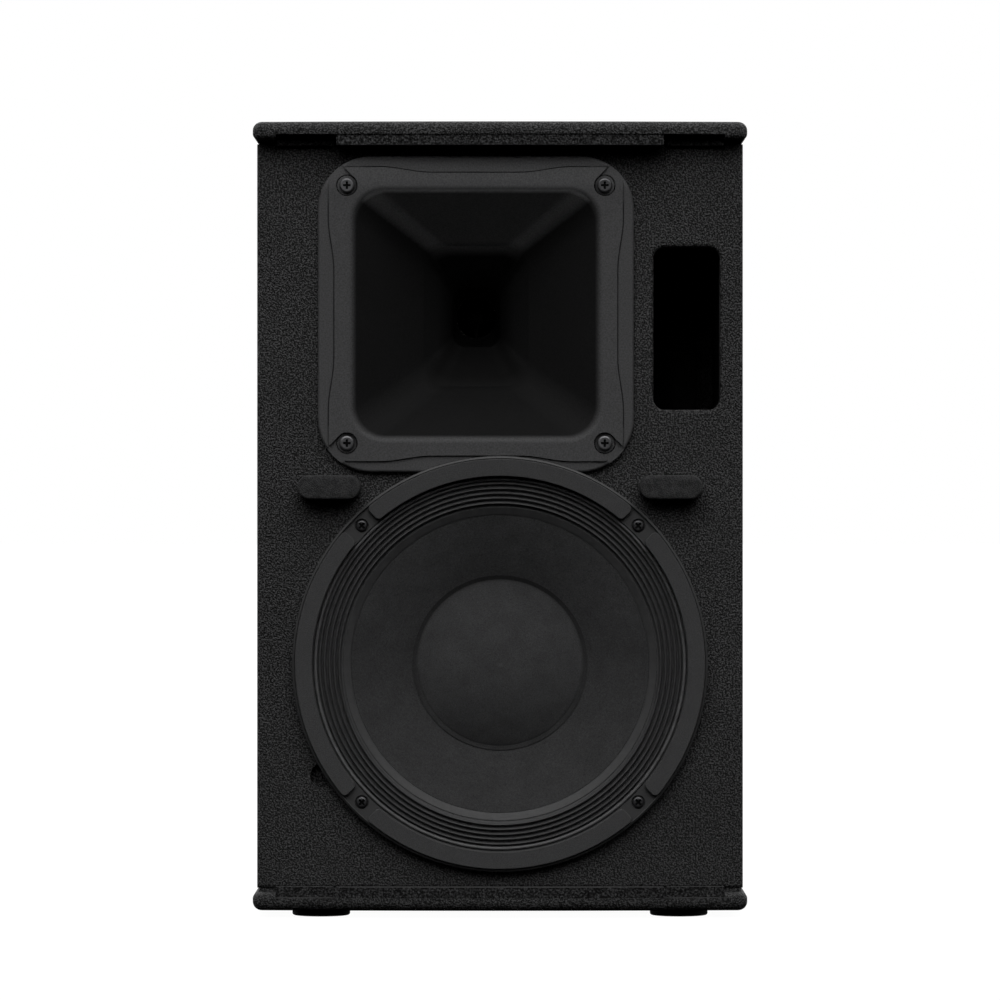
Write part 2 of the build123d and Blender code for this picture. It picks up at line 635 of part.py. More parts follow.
# Depth, width, height and corner radius of the flare's inner sections, from the mouth to the throat.
HORN_SECTIONS = [
    (HORN_FACE_Y, 154.8, 154.8, 19.0),
    (-94.0, 66.0, 88.0, 15.0),
    (-70.0, 30.0, 37.0, 8.0),
    (HORN_REAR_Y, 2 * THROAT_RADIUS, 2 * THROAT_RADIUS, THROAT_RADIUS - 0.05),
]
PANEL_CORNER_HALF = 91.2        # raised panel's half size near its corners
PANEL_MIDDLE_HALF = 87.7        # and at the middle of each side
PANEL_CORNER_RADIUS = 13.0
PANEL_WAVE_OUTER = 60.0
PANEL_WAVE_INNER = 27.0
SCREW_POCKET_RADIUS = 6.7
SCREW_POCKET_REACH = 10.6
SCREW_POCKET_ANGLE = 80.0       # from the corner's direction to each straight side's start
SCREW_POCKET_DEPTH = HORN_PANEL + HORN_SCREW_SINK
HORN_LINE = (0.7, 0.7)           # width and depth of the fine groove round the panel and each pocket
HORN_RIM_ROUND = 1.6
DRIVER_FLANGE_RADIUS = 40.0
DRIVER_FLANGE = 5.0


def turned_point(point, quarter_turns):
    """Point after a number of quarter turns about the horn's middle."""
    x, y = point
    for _ in range(quarter_turns):
        x, y = -y, x
    return (x, y)


def wavy_panel(margin=0.0):
    """Raised panel's outline: a square whose sides step inwards in a soft wave between the corners."""
    corner_half = PANEL_CORNER_HALF + margin
    middle_half = PANEL_MIDDLE_HALF + margin
    arc_start = PANEL_CORNER_HALF - PANEL_CORNER_RADIUS
    with BuildSketch(front_plane(HORN_RIM_Y, HORN_X, HORN_Z)) as panel:
        with BuildLine():
            for turn in range(4):
                place = [
                    turned_point(point, turn)
                    for point in (
                        (corner_half, arc_start),
                        (arc_start, corner_half),
                        (PANEL_WAVE_OUTER, corner_half),
                        (PANEL_WAVE_INNER, middle_half),
                        (-PANEL_WAVE_INNER, middle_half),
                        (-PANEL_WAVE_OUTER, corner_half),
                        (-arc_start, corner_half),
                    )
                ]
                along = turned_point((-1, 0), turn)
                RadiusArc(place[0], place[1], -(PANEL_CORNER_RADIUS + margin))
                Line(place[1], place[2])
                Spline(place[2], place[3], tangents=(along, along))
                Line(place[3], place[4])
                Spline(place[4], place[5], tangents=(along, along))
                Line(place[5], place[6])
        make_face()
    return panel.sketch


def screw_pocket(corner_x, corner_z):
    """Round pocket about a horn screw that opens with straight sides towards the flange's corner."""
    centre_x = HORN_X + corner_x * HORN_SCREW_SPACING / 2
    centre_z = HORN_Z + corner_z * HORN_SCREW_SPACING / 2
    outward = math.degrees(math.atan2(corner_z, corner_x))
    reach = Vector(SCREW_POCKET_REACH, 0).rotate(Axis.Z, outward)
    right, left = (
        Vector(SCREW_POCKET_RADIUS, 0).rotate(Axis.Z, outward + turn)
        for turn in (-SCREW_POCKET_ANGLE, SCREW_POCKET_ANGLE)
    )
    with BuildSketch(front_plane(HORN_FACE_Y, centre_x, centre_z)) as pocket:
        Circle(SCREW_POCKET_RADIUS)
        with BuildLine():
            Polyline(right, right + reach, left + reach, left, close=True)
        make_face()
    return pocket.sketch


with BuildPart() as horn:
    flange_outline = rounded_rectangle_at(
        front_plane(BAFFLE_Y, HORN_X, HORN_Z), HORN_SIZE, HORN_SIZE, HORN_CORNER_RADIUS
    )
    extrude(flange_outline, amount=HORN_FLANGE)
    fillet(horn.faces().sort_by(Axis.Y)[0].edges(), radius=HORN_RIM_ROUND)
    line_width, line_depth = HORN_LINE
    extrude(wavy_panel(line_width), amount=-line_depth, mode=Mode.SUBTRACT)
    extrude(wavy_panel(), amount=-line_depth)
    extrude(wavy_panel(), amount=HORN_PANEL)
    for depth, width, height, radius in HORN_SECTIONS:
        with BuildSketch(front_plane(max(depth, BAFFLE_Y), HORN_X, HORN_Z)):
            RectangleRounded(width + 2 * HORN_WALL, height + 2 * HORN_WALL, radius + HORN_WALL)
    loft(ruled=True)
    with BuildSketch(front_plane(HORN_REAR_Y, HORN_X, HORN_Z)):
        Circle(DRIVER_FLANGE_RADIUS)
    extrude(amount=DRIVER_FLANGE)
    for depth, width, height, radius in HORN_SECTIONS:
        with BuildSketch(front_plane(depth, HORN_X, HORN_Z)):
            RectangleRounded(width, height, radius)
    loft(ruled=True, mode=Mode.SUBTRACT)
    mouth = horn.faces().filter_by(Axis.Y).sort_by(Axis.Y)[0].inner_wires()[0].edges()
    fillet(mouth, radius=HORN_MOUTH_ROUND)
    for corner_x in (-1, 1):
        for corner_z in (-1, 1):
            extrude(screw_pocket(corner_x, corner_z), amount=-SCREW_POCKET_DEPTH, mode=Mode.SUBTRACT)
    with BuildSketch(front_plane(HORN_FACE_Y, HORN_X, HORN_Z)) as pocket_lines:
        with GridLocations(HORN_SCREW_SPACING, HORN_SCREW_SPACING, 2, 2):
            Circle(SCREW_POCKET_RADIUS)
            Circle(SCREW_POCKET_RADIUS - line_width, mode=Mode.SUBTRACT)
    extrude(pocket_lines.sketch, amount=-(SCREW_POCKET_DEPTH + line_depth), mode=Mode.SUBTRACT)
    with BuildSketch(front_plane(HORN_FACE_Y, 0, WOOFER_Z)):
        Circle(WOOFER_FRAME_RADIUS + WOOFER_GAP)
    extrude(amount=-(BAFFLE_Y - HORN_FACE_Y), mode=Mode.SUBTRACT)
    add(horn_screws.part, mode=Mode.SUBTRACT)

# ---------------------------------------------------------------- compression driver

DRIVER_RADIUS = 44.0
DRIVER_COVER_RADIUS = 42.0
DRIVER_SCREW_RADIUS = 38.0
DRIVER_POLE_Y = -46.0
DRIVER_GAP_Y = -31.0
DRIVER_COVER_Y = -25.0
DRIVER_RIM = 4.0
DRIVER_COVER_END_Y = 8.0
POLE_OUTER_RADIUS = 21.0
POLE_INNER_RADIUS = 16.0
POLE_CONE_LENGTH = 12.0
DRIVER_GAP_RADIUS = 22.3
DRIVER_MAGNET_BORE = 24.0
MAGNET_CHAMFER = 1.0

with BuildPart(rear_plane(DRIVER_COVER_Y + DRIVER_RIM, HORN_X, HORN_Z)) as driver_screws:
    with PolarLocations(DRIVER_SCREW_RADIUS, 4, start_angle=45):
        CrossHeadScrew(*SMALL_SCREW)

with BuildPart() as driver_pole_plate:
    turned(
        [
            (THROAT_RADIUS, HORN_REAR_Y),
            (DRIVER_RADIUS, HORN_REAR_Y),
            (DRIVER_RADIUS, DRIVER_POLE_Y),
            (POLE_OUTER_RADIUS, DRIVER_POLE_Y),
            (POLE_OUTER_RADIUS, DRIVER_COVER_Y),
            (POLE_INNER_RADIUS, DRIVER_COVER_Y),
            (POLE_INNER_RADIUS, DRIVER_COVER_Y - POLE_CONE_LENGTH),
        ],
        HORN_X,
        HORN_Z,
    )

with BuildPart() as driver_magnet:
    ring(DRIVER_MAGNET_BORE, DRIVER_RADIUS, DRIVER_POLE_Y, DRIVER_GAP_Y, HORN_X, HORN_Z)
    fillet(driver_magnet.edges().sort_by(SortBy.LENGTH)[-2:], radius=MAGNET_CHAMFER)

with BuildPart() as driver_gap_plate:
    ring(DRIVER_GAP_RADIUS, DRIVER_COVER_RADIUS, DRIVER_GAP_Y, DRIVER_COVER_Y, HORN_X, HORN_Z)
    add(driver_screws.part, mode=Mode.SUBTRACT)

PLUG_TIP_Y = -44.0
PLUG_WAIST_Y = -36.0
PLUG_CROSS_Y = -30.0
PLUG_REAR_Y = DRIVER_COVER_Y + 1.0
PLUG_CROSS = (26.0, 6.0, 1.6)
with BuildPart() as phase_plug:
    bullet = [
        (0, PLUG_TIP_Y),
        (5.0, PLUG_WAIST_Y),
        (9.0, PLUG_REAR_Y),
        (0, PLUG_REAR_Y + 2.0),
    ]
    collar = [
        (12.0, PLUG_WAIST_Y + 1.0),
        (POLE_INNER_RADIUS, PLUG_WAIST_Y + 1.0),
        (POLE_INNER_RADIUS, PLUG_REAR_Y - 1.0),
        (11.5, PLUG_REAR_Y),
    ]
    turned(bullet, HORN_X, HORN_Z)
    turned(collar, HORN_X, HORN_Z)
    with Locations((HORN_X, PLUG_CROSS_Y, HORN_Z)):
        for turn in (0, 90):
            Box(*PLUG_CROSS, rotation=(0, turn, 0))

DIAPHRAGM_RADIUS = 21.8
DIAPHRAGM_EDGE_RADIUS = 26.4
DIAPHRAGM_FOIL = 0.4
DIAPHRAGM_HEIGHT = 12.0
DIAPHRAGM_GAP = 0.8             # lets the edge move without touching the gap plate
DIAPHRAGM_COIL_LENGTH = 5.0
with BuildPart() as driver_diaphragm:
    rim_y = DRIVER_COVER_Y + DIAPHRAGM_GAP
    dome(DIAPHRAGM_RADIUS, rim_y, rim_y + DIAPHRAGM_HEIGHT, DIAPHRAGM_FOIL, HORN_X, HORN_Z)
    coil_inner_radius = DIAPHRAGM_RADIUS - DIAPHRAGM_FOIL
    turned(
        [
            (coil_inner_radius, rim_y - DIAPHRAGM_COIL_LENGTH),
            (DIAPHRAGM_RADIUS, rim_y - DIAPHRAGM_COIL_LENGTH),
            (DIAPHRAGM_RADIUS, rim_y),
            (DIAPHRAGM_EDGE_RADIUS, rim_y),
            (DIAPHRAGM_EDGE_RADIUS, rim_y + DIAPHRAGM_FOIL),
            (coil_inner_radius, rim_y + DIAPHRAGM_FOIL),
        ],
        HORN_X,
        HORN_Z,
    )

COVER_BORE = 29.0
COVER_WALL = 2.5
with BuildPart() as driver_rear_cover:
    turned(
        [
            (COVER_BORE, DRIVER_COVER_Y),
            (DRIVER_COVER_RADIUS, DRIVER_COVER_Y),
            (DRIVER_COVER_RADIUS, DRIVER_COVER_Y + DRIVER_RIM),
            (COVER_BORE + COVER_WALL + 1.5, DRIVER_COVER_Y + DRIVER_RIM),
            (COVER_BORE + COVER_WALL - 0.5, DRIVER_COVER_END_Y),
            (0, DRIVER_COVER_END_Y),
            (0, DRIVER_COVER_END_Y - COVER_WALL),
            (COVER_BORE - 0.4, DRIVER_COVER_END_Y - COVER_WALL),
        ],
        HORN_X,
        HORN_Z,
    )
    add(driver_screws.part, mode=Mode.SUBTRACT)

# ---------------------------------------------------------------- woofer

FRAME_FACE_Y = BAFFLE_Y - WOOFER_FLANGE
FRAME_REAR_Y = -58.0
GAP_PLATE_BORE = 27.4
GAP_PLATE_RADIUS = 62.0
GAP_PLATE_THICKNESS = 8.0
MAGNET_BORE = 34.0
MAGNET_RADIUS = 72.0
MAGNET_THICKNESS = 18.0
YOKE_VENT_RADIUS = 9.0
YOKE_POLE_RADIUS = 25.0
YOKE_RADIUS = 67.0
YOKE_BEVEL = 3.0
YOKE_THICKNESS = 8.0
GAP_PLATE_REAR_Y = FRAME_REAR_Y + GAP_PLATE_THICKNESS
MAGNET_REAR_Y = GAP_PLATE_REAR_Y + MAGNET_THICKNESS
YOKE_REAR_Y = MAGNET_REAR_Y + YOKE_THICKNESS
CONE_LIP_Y = FRAME_FACE_Y + 3.0
CONE_NECK_Y = CONE_LIP_Y + CONE_DEPTH
SPIDER_Y = -80.0
WINDOW_COUNT = 6
WINDOW_DEPTH = SPIDER_Y - BAFFLE_Y - 14.0
WINDOW_SIZE = (44.0, 46.0)
WINDOW_RADIUS = 88.0
TERMINAL_X = 74.0
TERMINAL_SIZE = (24.0, 3.0, 16.0)

with BuildPart(front_plane(BAFFLE_Y + 8.0, 0, WOOFER_Z)) as basket_windows:
    with PolarLocations(WINDOW_RADIUS, WINDOW_COUNT, start_angle=30):
        Box(*WINDOW_SIZE, WINDOW_DEPTH, align=FROM_ABOVE)

BASKET_WALL = 3.0
SPIDER_SEAT_RADIUS = 59.0
SPIDER_SEAT_HEIGHT = 2.0        # each side of the spider's middle
BASKET_BACK_RADIUS = 64.0
BASKET_SHOULDER_RADIUS = WOOFER_CUTOUT_RADIUS - 0.5
LEDGE_OUTER_RADIUS = GASKET_INNER_RADIUS - 0.4
LEDGE_INNER_RADIUS = 113.3      # inner edge of the ledge that the surround is glued to
RIM_LIP = 2.0                   # raised outer rim of the frame's face
RIM_BEVEL = 1.2
with BuildPart() as woofer_basket:
    front_rim = [
        (BASKET_SHOULDER_RADIUS, BAFFLE_Y),
        (WOOFER_FRAME_RADIUS, BAFFLE_Y),
        (WOOFER_FRAME_RADIUS, FRAME_FACE_Y - RIM_LIP + 0.8),
        (WOOFER_FRAME_RADIUS - RIM_BEVEL, FRAME_FACE_Y - RIM_LIP),
        (GASKET_OUTER_RADIUS + 0.1, FRAME_FACE_Y - RIM_LIP + 0.4),
        (GASKET_OUTER_RADIUS + 0.1, FRAME_FACE_Y),
    ]
    ledge = [
        (LEDGE_OUTER_RADIUS, FRAME_FACE_Y),
        (LEDGE_OUTER_RADIUS, CONE_LIP_Y),
        (LEDGE_INNER_RADIUS, CONE_LIP_Y),
        (LEDGE_INNER_RADIUS - 1.0, CONE_LIP_Y + 1.2),
        (LEDGE_INNER_RADIUS - 2.8, BAFFLE_Y + 0.6),
    ]
    inner_wall = [
        (SPIDER_SEAT_RADIUS + 5.5, SPIDER_Y - SPIDER_SEAT_HEIGHT),
        (SPIDER_SEAT_RADIUS, SPIDER_Y - SPIDER_SEAT_HEIGHT),
        (SPIDER_SEAT_RADIUS, SPIDER_Y + SPIDER_SEAT_HEIGHT),
        (SPIDER_SEAT_RADIUS + 1.5, FRAME_REAR_Y - BASKET_WALL),
        (MAGNET_BORE, FRAME_REAR_Y - BASKET_WALL),
    ]
    outer_wall = [
        (MAGNET_BORE, FRAME_REAR_Y),
        (BASKET_BACK_RADIUS, FRAME_REAR_Y),
        (BASKET_BACK_RADIUS + 3.0, SPIDER_Y),
        (BASKET_SHOULDER_RADIUS, BAFFLE_Y + BASKET_WALL),
    ]
    turned(front_rim + ledge + inner_wall + outer_wall, 0, WOOFER_Z)
    add(basket_windows.part, mode=Mode.SUBTRACT)
    with Locations((TERMINAL_X, FRAME_REAR_Y, WOOFER_Z)):
        Box(*TERMINAL_SIZE, align=(Align.CENTER, Align.MAX, Align.CENTER))
    with BuildSketch(front_plane(FRAME_FACE_Y, 0, WOOFER_Z)):
        with PolarLocations(WOOFER_BOLT_RADIUS, 4, start_angle=45):
            Circle(WOOFER_SCREW[0] + WOOFER_SCREW_CLEARANCE)
    extrude(amount=-WOOFER_SCREW_SINK, mode=Mode.SUBTRACT)
    add(woofer_screws.part, mode=Mode.SUBTRACT)

with BuildPart() as woofer_gaskets:
    with BuildSketch(front_plane(FRAME_FACE_Y, 0, WOOFER_Z)) as gasket_outline:
        Circle(GASKET_OUTER_RADIUS)
        Circle(GASKET_INNER_RADIUS, mode=Mode.SUBTRACT)
        gap_width = 2 * WOOFER_BOLT_RADIUS * math.tan(math.radians(GASKET_GAP_ANGLE / 2))
        with PolarLocations(WOOFER_BOLT_RADIUS, 4, start_angle=45):
            Rectangle(2 * GASKET_OUTER_RADIUS - 2 * GASKET_INNER_RADIUS, gap_width, mode=Mode.SUBTRACT)
        fillet(gasket_outline.vertices(), radius=GASKET_CORNER_RADIUS)
    extrude(amount=GASKET_THICKNESS)
    fillet(woofer_gaskets.faces().group_by(Axis.Y)[0].edges(), radius=GASKET_ROUND)

SURROUND_OUTER_RADIUS = 115.8
SURROUND_THICKNESS = 0.7
SURROUND_GLUE_RADIUS = 92.6
SURROUND_ROLLS = 5
SURROUND_ROLL_HEIGHT = 1.5
SURROUND_ROLL_END = 113.4
GLUE_BEAD = 1.6                 # bead of glue round the surround's outer edge
GLUE_BEAD_BEVEL = 0.6


def wave_points(start_radius, end_radius, middle_y, height, half_waves):
    """Turning points of a corrugation between two radii, first hump towards the listener."""
    step = (end_radius - start_radius) / (half_waves + 1)
    return [
        (start_radius + step * (i + 1), middle_y + (height if i % 2 else -height))
        for i in range(half_waves)
    ]


def corrugation(start, end, humps, thickness):
    """Closed section of a wavy sheet that runs from start to end through its humps."""
    with BuildSketch(Plane(origin=(0, 0, WOOFER_Z))) as section:
        with BuildLine():
            lifted = [(radius, y + thickness) for radius, y in (start, *humps, end)]
            Spline(start, *humps, end)
            Line(end, lifted[-1])
            Spline(*reversed(lifted))
            Line(lifted[0], start)
        make_face()
    revolve(section.sketch, axis=Axis((0, 0, WOOFER_Z), (0, 1, 0)))


with BuildPart() as woofer_surround:
    surround_y = CONE_LIP_Y - SURROUND_THICKNESS
    roll_start = CONE_RADIUS + 0.6
    roll_ends = (roll_start, SURROUND_ROLL_END)
    rolls = wave_points(*roll_ends, surround_y, SURROUND_ROLL_HEIGHT, 2 * SURROUND_ROLLS - 1)
    corrugation((roll_start, surround_y), (SURROUND_ROLL_END, surround_y), rolls, SURROUND_THICKNESS)
    ring(SURROUND_GLUE_RADIUS, roll_start, surround_y, CONE_LIP_Y, 0, WOOFER_Z)
    turned(
        [
            (SURROUND_ROLL_END, surround_y - GLUE_BEAD + GLUE_BEAD_BEVEL),
            (SURROUND_ROLL_END + GLUE_BEAD_BEVEL, surround_y - GLUE_BEAD),
            (SURROUND_OUTER_RADIUS - GLUE_BEAD_BEVEL, surround_y - GLUE_BEAD),
            (SURROUND_OUTER_RADIUS, surround_y - GLUE_BEAD + GLUE_BEAD_BEVEL),
            (SURROUND_OUTER_RADIUS, CONE_LIP_Y),
            (SURROUND_ROLL_END, CONE_LIP_Y),
        ],
        0,
        WOOFER_Z,
    )

CONE_BEND_RADIUS = SURROUND_GLUE_RADIUS - 0.4
CONE_SLOPE = CONE_DEPTH / (CONE_BEND_RADIUS - COIL_OUTER_RADIUS)


def cone_y(radius):
    """Depth of the cone's front face at a radius inside its flat lip."""
    return CONE_LIP_Y + (CONE_BEND_RADIUS - radius) * CONE_SLOPE


with BuildPart() as woofer_cone:
    turned(
        [
            (CONE_RADIUS, CONE_LIP_Y),
            (CONE_BEND_RADIUS, CONE_LIP_Y),
            (COIL_OUTER_RADIUS, CONE_NECK_Y),
            (COIL_OUTER_RADIUS, CONE_NECK_Y + 1.3 * CONE_THICKNESS),
            (CONE_BEND_RADIUS + 0.5, CONE_LIP_Y + CONE_THICKNESS),
            (CONE_RADIUS, CONE_LIP_Y + CONE_THICKNESS),
        ],
        0,
        WOOFER_Z,
    )

CAP_THICKNESS = 0.9
with BuildPart() as dust_cap:
    cap_rim_y = cone_y(DUST_CAP_RADIUS) - CAP_THICKNESS
    flange_edge_y = cone_y(CAP_FLANGE_RADIUS)
    flange = [
        (CAP_FLANGE_RADIUS, flange_edge_y - CAP_THICKNESS),
        (CAP_FLANGE_RADIUS, flange_edge_y),
        (DUST_CAP_RADIUS, cone_y(DUST_CAP_RADIUS)),
    ]
    cap_top_y = cap_rim_y - DUST_CAP_HEIGHT
    dome(DUST_CAP_RADIUS, cap_rim_y, cap_top_y, CAP_THICKNESS, 0, WOOFER_Z, foot=flange)

COIL_PROUD = 4.0                # in front of the cone's neck
COIL_REAR_Y = -46.0
with BuildPart() as voice_coil:
    coil_front_y = CONE_NECK_Y - COIL_PROUD
    ring(COIL_INNER_RADIUS, COIL_OUTER_RADIUS - 0.1, coil_front_y, COIL_REAR_Y, 0, WOOFER_Z)

SPIDER_INNER_RADIUS = COIL_OUTER_RADIUS + 0.2
SPIDER_OUTER_RADIUS = SPIDER_SEAT_RADIUS - 0.4
SPIDER_ROLL_HEIGHT = 1.8
SPIDER_THICKNESS = 0.8
SPIDER_HALF_WAVES = 9
with BuildPart() as woofer_spider:
    spider_ends = (SPIDER_INNER_RADIUS, SPIDER_OUTER_RADIUS)
    spider_humps = wave_points(*spider_ends, SPIDER_Y, SPIDER_ROLL_HEIGHT, SPIDER_HALF_WAVES)
    start, end = ((radius, SPIDER_Y) for radius in spider_ends)
    corrugation(start, end, spider_humps, SPIDER_THICKNESS)

with BuildPart() as woofer_gap_plate:
    ring(GAP_PLATE_BORE, GAP_PLATE_RADIUS, FRAME_REAR_Y, GAP_PLATE_REAR_Y, 0, WOOFER_Z)

with BuildPart() as woofer_magnet:
    ring(MAGNET_BORE, MAGNET_RADIUS, GAP_PLATE_REAR_Y, MAGNET_REAR_Y, 0, WOOFER_Z)
    fillet(woofer_magnet.edges().sort_by(SortBy.LENGTH)[-2:], radius=1.5 * MAGNET_CHAMFER)

with BuildPart() as woofer_yoke:
    turned(
        [
            (YOKE_VENT_RADIUS, FRAME_REAR_Y),
            (YOKE_POLE_RADIUS, FRAME_REAR_Y),
            (YOKE_POLE_RADIUS, MAGNET_REAR_Y),
            (YOKE_RADIUS, MAGNET_REAR_Y),
            (YOKE_RADIUS - YOKE_BEVEL, YOKE_REAR_Y),
            (YOKE_VENT_RADIUS, YOKE_REAR_Y),
        ],
        0,
        WOOFER_Z,
    )

# ---------------------------------------------------------------- amplifier

AMP_COVER_WIDTH = AMP_CUTOUT_WIDTH - 2 * AMP_COVER_GAP
AMP_COVER_HEIGHT = AMP_CUTOUT_HEIGHT - 2 * AMP_COVER_GAP
AMP_COVER_FRONT_Y = BODY_REAR_Y - AMP_COVER_DEPTH
SMALL_ROUND = 0.6
POT_RADIUS = 8.0
POT_LENGTH = 18.0
KNOB_HOLE_RADIUS = KNOB_SHAFT_RADIUS + 0.5
SWITCH_X = -CONNECTOR_X
BUTTON_X = CONNECTOR_X
BUTTON_RADIUS = 4.0
BUTTON_GAP = 0.4
SLOT_LENGTH = 11.0
SLOT_HEIGHT = 5.0
LEVER_LENGTH = 5.0
LEVER_TRAVEL = 4.0
MODULE_CUTOUT = (60.0, 28.0)
LIGHT_SPACING = 14.0

with BuildPart() as amplifier_panel:
    amp_plane = rear_plane(BODY_REAR_Y, 0, AMP_Z)
    panel_outline = rounded_rectangle_at(amp_plane, AMP_WIDTH, AMP_HEIGHT, AMP_PANEL_RADIUS)
    extrude(panel_outline, amount=AMP_PANEL)
    fillet(amplifier_panel.faces().sort_by(Axis.Y)[-1].edges(), radius=SMALL_ROUND)
    with BuildSketch(rear_plane(AMP_FACE_Y)):
        with Locations((-CONNECTOR_X, CONNECTOR_Z), (CONNECTOR_X, CONNECTOR_Z), (0, LINK_Z)):
            Circle(CONNECTOR_BODY_RADIUS + CONNECTOR_CLEARANCE)
        with Locations((-CONNECTOR_X, KNOB_Z), (CONNECTOR_X, KNOB_Z)):
            Circle(KNOB_HOLE_RADIUS)
        with Locations((-BUTTON_X, LINK_Z)):
            Circle(BUTTON_RADIUS + BUTTON_GAP)
        with Locations((-SWITCH_X - LEVER_TRAVEL / 2, LINK_Z)):
            Rectangle(SLOT_LENGTH, SLOT_HEIGHT)
        with Locations((0, INLET_Z)):
            Rectangle(*MODULE_CUTOUT)
        with Locations((0, LIGHT_Z)):
            with GridLocations(LIGHT_SPACING, 1, 3, 1):
                Circle(LIGHT_RADIUS)
    extrude(amount=-AMP_PANEL, mode=Mode.SUBTRACT)
    add(amplifier_screws.part, mode=Mode.SUBTRACT)

with BuildPart() as heat_sink:
    with BuildSketch(rear_plane(AMP_FACE_Y, 0, HEAT_SINK_Z)):
        Rectangle(HEAT_SINK_WIDTH, HEAT_SINK_HEIGHT)
    extrude(amount=HEAT_SINK_BASE)
    fin_pitch = (HEAT_SINK_WIDTH - FIN_THICKNESS) / (FIN_COUNT - 1)
    with BuildSketch(rear_plane(AMP_FACE_Y + HEAT_SINK_BASE, 0, HEAT_SINK_Z)):
        with GridLocations(fin_pitch, 1, FIN_COUNT, 1):
            Rectangle(FIN_THICKNESS, HEAT_SINK_HEIGHT)
    extrude(amount=FIN_HEIGHT)
    fin_tips = heat_sink.faces().group_by(Axis.Y)[-1].edges().filter_by(Axis.Z)
    fillet(fin_tips, radius=FIN_TIP_ROUND)

with BuildPart() as amplifier_cover:
    outer_size = (AMP_COVER_WIDTH, AMP_COVER_HEIGHT)
    inner_size = tuple(size - 2 * AMP_COVER_WALL for size in outer_size)
    cover_outer = rounded_rectangle_at(amp_plane, *outer_size, 2 * AMP_COVER_WALL)
    cover_inner = rounded_rectangle_at(amp_plane, *inner_size, AMP_COVER_WALL)
    extrude(cover_outer, amount=-AMP_COVER_DEPTH)
    extrude(cover_inner, amount=-(AMP_COVER_DEPTH - AMP_COVER_WALL), mode=Mode.SUBTRACT)

STANDOFF = 6.0
STANDOFF_RADIUS = 3.0
STANDOFF_SPACING = (100.0, 330.0)
CIRCUIT_BOARD = (112.0, 350.0)
CIRCUIT_BOARD_THICKNESS = 1.6
COMPONENT_HEIGHT = 13.0
RESERVOIR_CAPACITORS = [(-30, 130), (0, 130), (30, 130)]
COUPLING_CAPACITORS = [(35, 60), (-35, 70)]
TRANSFORMERS = [(-32, -70), (10, -78)]
BOARD_Y = AMP_COVER_FRONT_Y + AMP_COVER_WALL + STANDOFF
with BuildPart() as amplifier_board:
    with BuildSketch(rear_plane(BOARD_Y, 0, AMP_Z)):
        Rectangle(*CIRCUIT_BOARD)
    extrude(amount=CIRCUIT_BOARD_THICKNESS)
    with BuildSketch(rear_plane(BOARD_Y, 0, AMP_Z)):
        with GridLocations(*STANDOFF_SPACING, 2, 2):
            Circle(STANDOFF_RADIUS)
    extrude(amount=-STANDOFF)
    with BuildSketch(rear_plane(BOARD_Y + CIRCUIT_BOARD_THICKNESS, 0, AMP_Z)):
        with Locations(*RESERVOIR_CAPACITORS):
            Circle(11.0)
        with Locations(*COUPLING_CAPACITORS):
            Circle(8.0)
        with Locations(*TRANSFORMERS):
            Rectangle(34.0, 30.0)
    extrude(amount=COMPONENT_HEIGHT)
    for side in (-1, 1):
        with BuildSketch(rear_plane(BODY_REAR_Y, side * CONNECTOR_X, KNOB_Z)):
            Circle(POT_RADIUS)
            Circle(KNOB_HOLE_RADIUS, mode=Mode.SUBTRACT)
        extrude(amount=-POT_LENGTH)

CONNECTOR_FLANGE = 2.0
CONNECTOR_FLANGE_SIZE = (26.0, 31.0)
PIN_RADIUS = 1.2
PIN_CIRCLE = 4.9
COMBO_PIN_CIRCLE = 5.9
JACK_RADIUS = 3.3
GROOVE_WIDTH = 1.6
GROOVE_DEPTH = 14.0
JACK_DEPTH = 22.0
LINK_DEPTH = 15.0


def connector_shell(x, z):
    """Panel connector without its cavity: a square flange on the panel and a round body behind it."""
    flange = rounded_rectangle_at(rear_plane(AMP_FACE_Y, x, z), *CONNECTOR_FLANGE_SIZE, 3.0)
    extrude(flange, amount=CONNECTOR_FLANGE)
    with BuildSketch(rear_plane(AMP_FACE_Y, x, z)) as body:
        Circle(CONNECTOR_BODY_RADIUS)
    extrude(body.sketch, amount=-CONNECTOR_LENGTH)


def combo_cavity(x, z):
    """Ring groove for a plug's shell, three pin holes and a jack hole in the middle."""
    with BuildSketch(rear_plane(AMP_FACE_Y + CONNECTOR_FLANGE, x, z)) as groove:
        Circle(CONNECTOR_CAVITY_RADIUS)
        Circle(CONNECTOR_CAVITY_RADIUS - GROOVE_WIDTH, mode=Mode.SUBTRACT)
    extrude(groove.sketch, amount=-GROOVE_DEPTH, mode=Mode.SUBTRACT)
    with BuildSketch(rear_plane(AMP_FACE_Y + CONNECTOR_FLANGE, x, z)) as holes:
        Circle(JACK_RADIUS)
        with PolarLocations(COMBO_PIN_CIRCLE, 3, start_angle=90):
            Circle(PIN_RADIUS)
    extrude(holes.sketch, amount=-JACK_DEPTH, mode=Mode.SUBTRACT)


with BuildPart() as input_connector_1:
    connector_shell(-CONNECTOR_X, CONNECTOR_Z)
    combo_cavity(-CONNECTOR_X, CONNECTOR_Z)

with BuildPart() as input_connector_2:
    connector_shell(CONNECTOR_X, CONNECTOR_Z)
    combo_cavity(CONNECTOR_X, CONNECTOR_Z)

with BuildPart() as link_connector:
    connector_shell(0, LINK_Z)
    with BuildSketch(rear_plane(AMP_FACE_Y + CONNECTOR_FLANGE, 0, LINK_Z)):
        Circle(CONNECTOR_CAVITY_RADIUS)
        with PolarLocations(PIN_CIRCLE, 3, start_angle=90):
            Circle(PIN_RADIUS, mode=Mode.SUBTRACT)
    extrude(amount=-LINK_DEPTH, mode=Mode.SUBTRACT)


